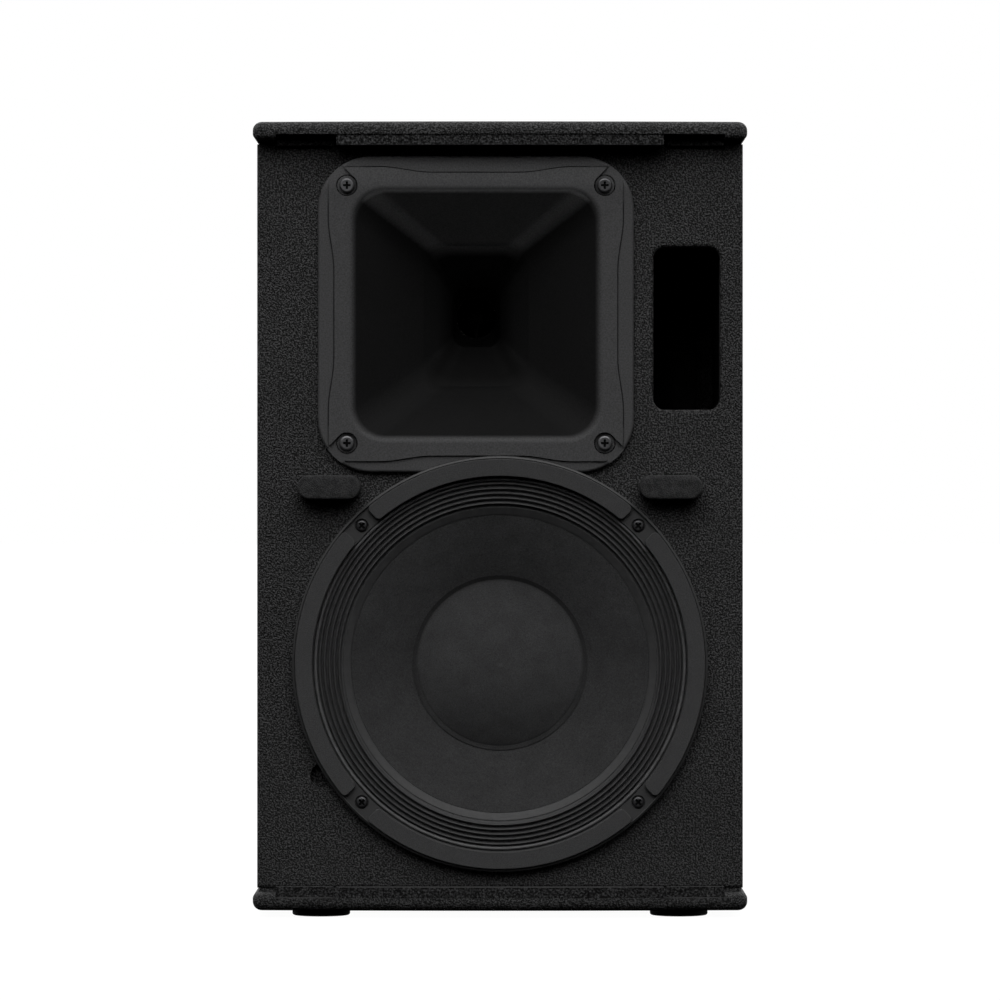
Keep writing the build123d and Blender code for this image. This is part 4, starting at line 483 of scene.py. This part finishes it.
def knob_plastic():
    """Soft-touch knobs, caps and switches: matt with finger shine on the high spots."""
    finish = Finish("knob_plastic", grey(0.035), roughness=0.5)
    smudges = finish.noise(5 * MM, detail=4.0)
    grain = finish.noise(0.25 * MM)
    finish.vary_roughness(smudges, 0.12)
    finish.vary_color(smudges, 0.9, 1.1)
    finish.bump(grain, 0.02 * MM)
    return finish.material


def rail_fabric():
    """Looped fastener tape on the grille rails: fine rows of loops, with painted shade that darkens it
    towards the floor.
    """
    finish = Finish("rail_fabric", grey(0.026), roughness=0.95, specular=0.15)
    finish.shader.inputs["Sheen Weight"].default_value = 0.1
    loops = finish.cells(1.1 * MM)
    rows = finish.waves(1.6 * MM, direction="X", distortion=1.5)
    tufts = finish.noise(1.3 * MM, detail=1.0)
    finish.vary_color(loops, 1.5, 0.4, 0.1, 0.6)
    finish.vary_color(tufts, 0.1, 2.5, 0.40, 0.63)
    finish.vary_color(rows, 0.85, 1.1, 0.0, 1.0)
    # Painted shade: darker towards the floor, where less light falls.
    finish.vary_color(finish.along("Z"), 0.72, 1.0, 20 * MM, 400 * MM)
    finish.bump(loops, -0.5 * MM)
    return finish.material


def foam():
    """Open-cell foam: small round cells with painted light on their walls and painted shade in their
    middles, and a soft slow mottle.
    """
    finish = Finish("foam", grey(0.033), roughness=0.95, specular=0.15)
    cells = finish.cells(0.8 * MM, feature="F1")
    mottle = finish.noise(5 * MM, detail=3.0)
    # Painted light on the cell walls and painted shade in their hollow middles.
    finish.vary_color(cells, 0.45, 1.25, 0.1, 0.65)
    finish.vary_color(mottle, 0.68, 1.25)
    finish.bump(cells, 0.3 * MM)
    finish.bump(mottle, 0.5 * MM)
    return finish.material


def gasket_foam():
    """Closed-cell gasket on the woofer's frame: finer and smoother than the pads."""
    finish = Finish("gasket_foam", grey(0.042), roughness=0.75, specular=0.3)
    speckle = finish.noise(0.6 * MM, detail=3.0)
    wear = finish.noise(9 * MM, detail=4.0)
    finish.vary_color(speckle, 0.68, 1.35)
    finish.vary_color(wear, 0.93, 1.08)
    finish.vary_roughness(wear, 0.08)
    finish.bump(speckle, 0.09 * MM)
    return finish.material


def rubber(name, brightness, roughness):
    """Rubber with a dusty bloom and a faint moulded grain."""
    finish = Finish(name, grey(brightness), roughness=roughness, specular=0.4)
    bloom = finish.noise(7 * MM, detail=5.0)
    grain = finish.noise(0.4 * MM)
    finish.vary_color(bloom, 0.85, 1.35)
    finish.vary_roughness(bloom, 0.1)
    finish.bump(grain, 0.04 * MM)
    return finish.material


def rubber_foot():
    return rubber("rubber_foot", 0.02, 0.75)


def lead_rubber():
    return rubber("lead_rubber", 0.03, 0.55)


def metal(name, color, roughness, metallic=1.0):
    """Metal finish with fine tool marks and a patchy gloss."""
    finish = Finish(name, color, roughness=roughness, metallic=metallic)
    patches = finish.noise(12 * MM, detail=4.0)
    stretched = finish.node("ShaderNodeMapping", Scale=(1, 1, 14))
    finish.link(finish.place, stretched.inputs["Vector"])
    marks = finish.noise(4 * MM, detail=4.0, place=stretched.outputs["Vector"])
    finish.vary_color(patches, 0.9, 1.1)
    finish.vary_roughness(patches, 0.09)
    finish.bump(marks, 0.02 * MM)
    return finish


# Nodes of four screws in a square on the front: radius of a head, and its share of the brightness.
FRONT_SCREWS = (("horn_screws", 4.7 * MM, 1.0), ("woofer_screws", 3.6 * MM, 0.45))
HEAD_DEPTH = (2.5 * MM, 3.5 * MM)
HEAD_EDGE = 1 * MM              # width over which a head's colour fades outside its radius
RECESS_DEPTH = (0.25 * MM, 0.5 * MM)
RECESS_REACH = 0.7              # share of the head's radius
RECESS_EDGE = 0.1 * MM
RECESS_SHADE_SHARE = 0.03


def black_screw():
    """Black zinc plating, with painted shade that makes the recesses of the screws on the front almost
    black.
    """
    finish = metal("black_screw", (0.14, 0.14, 0.145), 0.42, metallic=0.8)
    for name, head_radius, share in FRONT_SCREWS:
        low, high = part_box(name)
        middle = (low + high) / 2
        half_side = (high.x - low.x) / 2 - head_radius
        offsets = []
        for axis, centre in (("X", middle.x), ("Z", middle.z)):
            offset = finish.math("SUBTRACT", finish.off_middle(axis, centre), half_side)
            offsets.append(finish.math("MULTIPLY", offset, offset))
        from_screw = finish.math("SQRT", finish.math("ADD", *offsets))
        depth = finish.math("SUBTRACT", finish.along("Y"), low.y)
        reach = RECESS_REACH * head_radius
        head = finish.all_of(
            finish.short_of(from_screw, head_radius, head_radius + HEAD_EDGE),
            finish.short_of(depth, *HEAD_DEPTH),
        )
        recess_shade = finish.all_of(
            head,
            finish.short_of(from_screw, reach - RECESS_EDGE, reach),
            finish.past(depth, *RECESS_DEPTH),
        )
        finish.shade(head, share)
        # Painted shade in the cross recesses of the heads.
        finish.shade(recess_shade, RECESS_SHADE_SHARE)
    return finish.material


def insert_steel():
    return metal("insert_steel", (0.30, 0.30, 0.29), 0.4).material


def motor_steel():
    return metal("motor_steel", (0.48, 0.47, 0.42), 0.36).material


def titanium_foil():
    return metal("titanium_foil", (0.55, 0.52, 0.48), 0.22).material


def coil_copper():
    """Voice coil: copper windings laid side by side."""
    finish = Finish("coil_copper", (0.75, 0.32, 0.16), roughness=0.3, metallic=1.0)
    windings = finish.waves(0.35 * MM, direction="Y")
    finish.vary_color(windings, 0.55, 1.1, 0.0, 1.0)
    finish.bump(windings, 0.1 * MM)
    return finish.material


def powder_coat(name, brightness, roughness, orange_peel=1.1 * MM, depth=0.05 * MM):
    """Black powder coat: orange peel with fine sparkle."""
    finish = Finish(name, grey(brightness), roughness=roughness)
    peel = finish.noise(orange_peel, detail=1.0)
    patches = finish.noise(25 * MM, detail=3.0)
    finish.vary_color(patches, 0.93, 1.07)
    finish.vary_roughness(peel, 0.06)
    finish.bump(peel, depth)
    return finish.material


def socket_metal():
    return powder_coat("socket_metal", 0.03, 0.45)


def handle_metal():
    return powder_coat("handle_metal", 0.026, 0.5)


def basket_metal():
    return powder_coat("basket_metal", 0.026, 0.55)


def cast_cover():
    return powder_coat("cast_cover", 0.03, 0.55, orange_peel=2.2 * MM, depth=0.12 * MM)


def panel_metal():
    """Amplifier panel: painted steel with a fine texture."""
    return powder_coat("panel_metal", 0.028, 0.5, orange_peel=0.6 * MM)


def cover_steel():
    """Zinc-plated sheet steel with its spangle."""
    finish = Finish("cover_steel", (0.5, 0.52, 0.53), roughness=0.4, metallic=1.0)
    spangle = finish.cells(9 * MM, feature="F1")
    finish.vary_color(spangle, 0.8, 1.12, 0.1, 0.8)
    finish.vary_roughness(spangle, 0.08, 0.1, 0.8)
    return finish.material


def heat_sink_metal():
    """Black anodised extrusion: fine lines along the fins."""
    finish = Finish("heat_sink_metal", grey(0.035), roughness=0.4, metallic=0.6)
    stretched = finish.node("ShaderNodeMapping", Scale=(1, 1, 0.03))
    finish.link(finish.place, stretched.inputs["Vector"])
    lines = finish.noise(0.5 * MM, detail=2.0, place=stretched.outputs["Vector"])
    finish.vary_color(lines, 0.8, 1.25)
    finish.vary_roughness(lines, 0.07)
    finish.bump(lines, 0.03 * MM)
    return finish.material


def ferrite():
    """Sintered magnet: charcoal, with grinding marks and small chips."""
    finish = Finish("ferrite", grey(0.05), roughness=0.6, metallic=0.2)
    chips = finish.noise(3 * MM, detail=5.0, roughness=0.65)
    finish.vary_color(chips, 0.8, 1.25)
    finish.bump(chips, 0.15 * MM)
    return finish.material


def circuit_board():
    """Green board with copper tracks under the lacquer."""
    finish = Finish("circuit_board", (0.03, 0.13, 0.05), roughness=0.35)
    tracks = finish.cells(5 * MM, feature="DISTANCE_TO_EDGE")
    finish.vary_color(tracks, 1.7, 1.0, 0.02, 0.08)
    finish.bump(tracks, 0.05 * MM)
    return finish.material


def light_lens():
    """Milky indicator lens that glows faintly green."""
    finish = Finish("light_lens", (0.10, 0.35, 0.12), roughness=0.25)
    finish.shader.inputs["Emission Color"].default_value = (0.1, 0.6, 0.15, 1)
    finish.shader.inputs["Emission Strength"].default_value = 0.15
    haze = finish.noise(1.0 * MM, detail=3.0)
    finish.vary_color(haze, 0.85, 1.15)
    finish.vary_roughness(haze, 0.08)
    return finish.material


def lining_felt():
    """Damping felt: matted black fibres."""
    finish = Finish("lining_felt", grey(0.012), roughness=1.0, specular=0.1)
    fibres = finish.noise(1.2 * MM, detail=6.0, roughness=0.7, distortion=1.5)
    clumps = finish.noise(14 * MM, detail=4.0)
    finish.vary_color(fibres, 0.6, 1.4)
    finish.vary_color(clumps, 0.85, 1.15)
    finish.bump(fibres, 0.9 * MM)
    return finish.material


def cloth_weave(finish, thread):
    """Crossing threads, thread metres apart."""
    return finish.math("MULTIPLY", finish.waves(thread, direction="X"), finish.waves(thread, direction="Z"))


def woofer_centre():
    low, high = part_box("woofer_cone")
    return (low + high) / 2


def pressed_paper(name, brightness, fibre_size):
    """Pulp cone paper: short fibres pressed in all directions, with slow cloudy patches."""
    finish = Finish(name, grey(brightness), roughness=0.9, specular=0.15)
    finish.shader.inputs["Diffuse Roughness"].default_value = 1.0
    finish.shader.inputs["Sheen Weight"].default_value = 0.05
    fibres = finish.noise(fibre_size, detail=4.0, roughness=0.65, distortion=1.2)
    clouds = finish.noise(13 * MM, detail=4.0)
    finish.vary_color(fibres, 0.62, 1.42)
    finish.vary_color(clouds, 0.9, 1.12)
    finish.bump(fibres, 0.2 * MM)
    return finish


CONE_TOP_LIGHT_START = 10 * MM        # height above the cone's middle from which painted light turns it paler
CONE_TOP_LIGHT_SHARE = 2.1


def cone_paper():
    """Cone's pulp, with painted light that makes it paler towards its top, which faces down away from the
    light.
    """
    finish = pressed_paper("cone_paper", 0.0395, 1.0 * MM)
    low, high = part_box("woofer_cone")
    start = (low.z + high.z) / 2 + CONE_TOP_LIGHT_START
    # Painted light on the cone's top, which faces down away from the light.
    finish.shade(finish.past(finish.along("Z"), start, high.z), CONE_TOP_LIGHT_SHARE)
    return finish.material


CAP_FLANGE_START = (50.5 * MM, 52.5 * MM)
CAP_FLANGE_SHARE = 0.55


def cap_paper():
    """Dust cap's pulp, darker on the glued flange round it."""
    finish = pressed_paper("cap_paper", 0.053, 0.7 * MM)
    flange = finish.past(finish.radius_about(woofer_centre()), *CAP_FLANGE_START)
    finish.shade(flange, CAP_FLANGE_SHARE)
    return finish.material


SURROUND_LIP_RADIUS = 92.6 * MM
SURROUND_ROLL_START = 98.3 * MM
SURROUND_ROLL_END = 113.4 * MM
LIP_SHARE = 0.9
LIP_EDGE = 2 * MM
BEAD_SHARE = 1.9
BEAD_EDGE = 0.5 * MM


def surround_cloth():
    """Coated cloth: dark where its lip is glued to the cone, pale in the bead of glue outside it."""
    finish = Finish("surround_cloth", grey(0.047), roughness=0.55, specular=0.4)
    radius = finish.radius_about(woofer_centre())
    weave = cloth_weave(finish, 0.7 * MM)
    doping = finish.noise(3 * MM, detail=3.0)
    finish.vary_color(weave, 0.65, 1.35, 0.0, 0.8)
    finish.vary_color(doping, 0.85, 1.15)
    finish.shade(finish.short_of(radius, SURROUND_ROLL_START - LIP_EDGE, SURROUND_ROLL_START), LIP_SHARE)
    finish.shade(
        finish.past(radius, SURROUND_ROLL_END - BEAD_EDGE, SURROUND_ROLL_END + BEAD_EDGE), BEAD_SHARE
    )
    finish.vary_roughness(doping, 0.1)
    finish.bump(weave, 0.06 * MM)
    return finish.material


def spider_cloth():
    """Resin-stiffened amber cloth behind the cone."""
    finish = Finish("spider_cloth", (0.45, 0.30, 0.10), roughness=0.7)
    weave = cloth_weave(finish, 0.8 * MM)
    finish.vary_color(weave, 0.7, 1.15, 0.0, 0.8)
    finish.bump(weave, 0.08 * MM)
    return finish.material


MATERIALS = {
    maker.__name__: maker()
    for maker in (
        coated_plywood,
        bare_plywood,
        port_plastic,
        rail_fabric,
        foam,
        rubber_foot,
        black_screw,
        socket_metal,
        handle_metal,
        insert_steel,
        horn_plastic,
        motor_steel,
        ferrite,
        plug_plastic,
        titanium_foil,
        cast_cover,
        basket_metal,
        gasket_foam,
        surround_cloth,
        spider_cloth,
        cone_paper,
        cap_paper,
        coil_copper,
        panel_metal,
        heat_sink_metal,
        cover_steel,
        circuit_board,
        connector_plastic,
        knob_plastic,
        light_lens,
        lead_rubber,
        lining_felt,
    )
}

# ---------------------------------------------------------------- finishes on the CAD nodes


def dress_cad_nodes():
    """Give each CAD node its slot's material, and even out the shading at the middle of the domes."""
    for name, node in NODES.items():
        node.data.materials.clear()
        node.data.materials.append(MATERIALS[SLOT_OF_NODE[name]])
    for name in ("dust_cap", "driver_diaphragm"):
        NODES[name].modifiers.new("even_shading", "WEIGHTED_NORMAL")


# ---------------------------------------------------------------- pieces made here


def piece_from(name, vertices, faces, slot):
    """New mesh object with smooth faces and its slot's material."""
    mesh = bpy.data.meshes.new(name)
    mesh.from_pydata(vertices, [], faces)
    mesh.update()
    mesh.shade_smooth()
    mesh.materials.append(MATERIALS[slot])
    piece = bpy.data.objects.new(name, mesh)
    bpy.context.scene.collection.objects.link(piece)
    return piece


def revolved(name, outline, centre, slot, segments=256):
    """Ring made by turning a closed outline of (radius, y) points about the fore-and-aft axis at centre."""
    count = len(outline)
    vertices = []
    faces = []
    for step in range(segments):
        angle = 2 * math.pi * step / segments
        for radius, y in outline:
            vertices.append((centre.x + radius * math.sin(angle), y, centre.z + radius * math.cos(angle)))
        start = step * count
        following = (step + 1) % segments * count
        for i in range(count):
            j = (i + 1) % count
            faces.append((start + i, start + j, following + j, following + i))
    return piece_from(name, vertices, faces, slot)


def sheet_outline(front_line, thickness):
    """Closed outline of a sheet: its front line, and the same line thickness further back."""
    return list(front_line) + [(radius, y + thickness) for radius, y in reversed(front_line)]


ROLL_ROUNDNESS = 0.8            # under 1 makes the rolls rounder than the valleys
ROLL_SAMPLES = 16


def corrugated_line(start_radius, end_radius, middle_y, height, rolls):
    """Front line of a corrugation between two radii: round rolls with tighter valleys between them."""
    line = []
    for i in range(rolls * ROLL_SAMPLES + 1):
        share = i / (rolls * ROLL_SAMPLES)
        lift = (0.5 - 0.5 * math.cos(2 * math.pi * rolls * share)) ** ROLL_ROUNDNESS
        line.append((start_radius + share * (end_radius - start_radius), middle_y + height * (1 - 2 * lift)))
    return line


def hold_by_radius(piece):
    """Bake a ring's placement into its mesh."""
    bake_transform(piece)


SURROUND_ROLLS = 5
SURROUND_CLOTH = 0.7 * MM
VALLEY_SINK = 0.2 * MM          # how far behind the cone's front the valleys reach
LIP_RISE = 0.15 * MM            # the lip's inner edge stands this far in front of the cone
LIP_SLOPE = 0.3 * MM            # width over which the lip rises to the cloth's thickness
BEAD_HEIGHT = 1.5 * MM
BEAD_STEPS = 12
BEAD_WAVER = 0.5 * MM
BEAD_WAVER_SIZE = 6.25 * MM


def add_surround():
    """Doped cloth surround: a lip glued on the cone, five rolls, and a bead of glue on the frame's ledge."""
    centre = woofer_centre()
    low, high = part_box("woofer_surround")
    outer_radius = (high.x - low.x) / 2
    lip_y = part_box("woofer_cone")[0].y
    front_y = low.y
    roll_height = (lip_y - front_y + VALLEY_SINK) / 2
    middle_y = front_y + roll_height
    line = [
        (SURROUND_LIP_RADIUS, lip_y - LIP_RISE),
        (SURROUND_LIP_RADIUS + LIP_SLOPE, lip_y - SURROUND_CLOTH),
    ]
    line += corrugated_line(SURROUND_ROLL_START, SURROUND_ROLL_END, middle_y, roll_height, SURROUND_ROLLS)
    bead_middle = (SURROUND_ROLL_END + outer_radius) / 2
    for step in range(1, BEAD_STEPS):
        angle = math.pi * (1 - step / BEAD_STEPS)
        radius = bead_middle + math.cos(angle) * (outer_radius - SURROUND_ROLL_END) / 2
        line.append((radius, lip_y - SURROUND_CLOTH - BEAD_HEIGHT * math.sin(angle)))
    line.append((outer_radius, lip_y - SURROUND_CLOTH))
    surround = revolved("surround_rolls", sheet_outline(line, SURROUND_CLOTH), centre, "surround_cloth", 360)
    for vertex in surround.data.vertices:
        radius = math.hypot(vertex.co.x - centre.x, vertex.co.z - centre.z)
        if radius > SURROUND_ROLL_END and vertex.co.y < lip_y - SURROUND_CLOTH:
            vertex.co.y += BEAD_WAVER * noise.noise(vertex.co / BEAD_WAVER_SIZE)
    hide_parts("woofer_surround")
    hold_by_radius(surround)


SPIDER_ROLLS = 5
SPIDER_CLOTH = 0.5 * MM
SPIDER_COIL_GAP = 0.3 * MM


def add_spider():
    """Corrugated spider that centres the voice coil."""
    centre = woofer_centre()
    low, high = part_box("woofer_spider")
    coil_low, coil_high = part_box("voice_coil")
    inner_radius = (coil_high.x - coil_low.x) / 2 + SPIDER_COIL_GAP
    outer_radius = (high.x - low.x) / 2
    middle_y = (low.y + high.y) / 2
    height = (high.y - low.y) / 2 - SPIDER_CLOTH
    line = corrugated_line(inner_radius, outer_radius, middle_y, height, SPIDER_ROLLS)
    spider = revolved("spider_rolls", sheet_outline(line, SPIDER_CLOTH), centre, "spider_cloth")
    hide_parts("woofer_spider")
    hold_by_radius(spider)


# Pad's section from the middle of its back, round its side to the middle of its front:
# share of its half height, and share of its depth.
PAD_SECTION = (
    (0.0, 0.0),
    (0.55, 0.0),
    (0.96, 0.0),
    (1.0, 0.06),
    (1.0, 0.3),
    (0.995, 0.6),
    (0.985, 0.8),
    (0.955, 0.92),
    (0.90, 0.97),
    (0.80, 0.99),
    (0.60, 1.0),
    (0.30, 1.0),
    (0.0, 1.0),
)
PAD_ROUND_STEPS = 96
PAD_STRAIGHT_GAIN = 6           # the straight sides take the steps whose cosine is under 1/6


def add_grille_pad(side):
    """Foam bar with round ends that holds the grille off the baffle."""
    low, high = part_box(f"{side}_grille_pad")
    half_height = (high.z - low.z) / 2
    half_core = (high.x - low.x) / 2 - half_height
    middle = (low + high) / 2
    depth = high.y - low.y
    vertices = []
    faces = []
    for reach, forward in PAD_SECTION:
        for step in range(PAD_ROUND_STEPS):
            angle = 2 * math.pi * (step + 0.5) / PAD_ROUND_STEPS
            straight = min(1.0, PAD_STRAIGHT_GAIN * abs(math.cos(angle)))
            along = math.copysign(half_core, math.cos(angle)) * straight
            x = middle.x + along + half_height * reach * math.cos(angle)
            z = middle.z + half_height * reach * math.sin(angle)
            vertices.append((x, high.y - depth * forward, z))
    for row in range(len(PAD_SECTION) - 1):
        for step in range(PAD_ROUND_STEPS):
            following = (step + 1) % PAD_ROUND_STEPS
            here = row * PAD_ROUND_STEPS
            ahead = here + PAD_ROUND_STEPS
            faces.append((here + step, here + following, ahead + following, ahead + step))
    pad = piece_from(f"foam_pad_{side}", vertices, faces, "foam")
    finish_soft_mesh(pad, weld=0.01 * MM, cuts=1, hollow_depth=0.35 * MM, hollow_size=7 * MM)
    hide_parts(f"{side}_grille_pad")
    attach(pad, "cabinet")


def finish_soft_mesh(piece, weld, cuts, hollow_depth, hollow_size):
    """Weld a soft piece's seams, cut its edges up and press shallow hollows into its surface."""
    mesh = bmesh.new()
    mesh.from_mesh(piece.data)
    bmesh.ops.remove_doubles(mesh, verts=mesh.verts, dist=weld)
    bmesh.ops.recalc_face_normals(mesh, faces=mesh.faces)
    bmesh.ops.subdivide_edges(mesh, edges=mesh.edges, cuts=cuts, use_grid_fill=True)
    mesh.normal_update()
    for vertex in mesh.verts:
        hollow = 0.5 - 0.5 * noise.noise(vertex.co / hollow_size)
        vertex.co -= vertex.normal * hollow_depth * hollow
    mesh.to_mesh(piece.data)
    mesh.free()
    piece.data.shade_smooth()


LINING_VOXEL = 4 * MM
LINING_SOFTENING = 8            # rounds of smoothing


def add_lining():
    """Felt pads on the inner walls, softened copies of the space that the CAD model keeps for them."""
    source = NODES["acoustic_lining"]
    felt = bpy.data.objects.new("damping_felt", source.data.copy())
    bpy.context.scene.collection.objects.link(felt)
    remesh = felt.modifiers.new("voxels", "REMESH")
    remesh.mode = "VOXEL"
    remesh.voxel_size = LINING_VOXEL
    soften = felt.modifiers.new("soften", "SMOOTH")
    soften.iterations = LINING_SOFTENING
    depsgraph = bpy.context.evaluated_depsgraph_get()
    softened = bpy.data.meshes.new_from_object(felt.evaluated_get(depsgraph))
    felt.modifiers.clear()
    felt.data = softened
    felt.data.materials.clear()
    felt.data.materials.append(MATERIALS["lining_felt"])
    finish_soft_mesh(felt, weld=0.0, cuts=0, hollow_depth=1.6 * MM, hollow_size=24 * MM)
    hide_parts("acoustic_lining")
    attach(felt, "cabinet")


def build():
    add_camera()
    add_floor()
    add_studio_light()
    dress_cad_nodes()
    add_surround()
    add_spider()
    for side in ("left", "right"):
        add_grille_pad(side)
    add_lining()


bpy.context.scene.view_settings.view_transform = "Standard"
build()
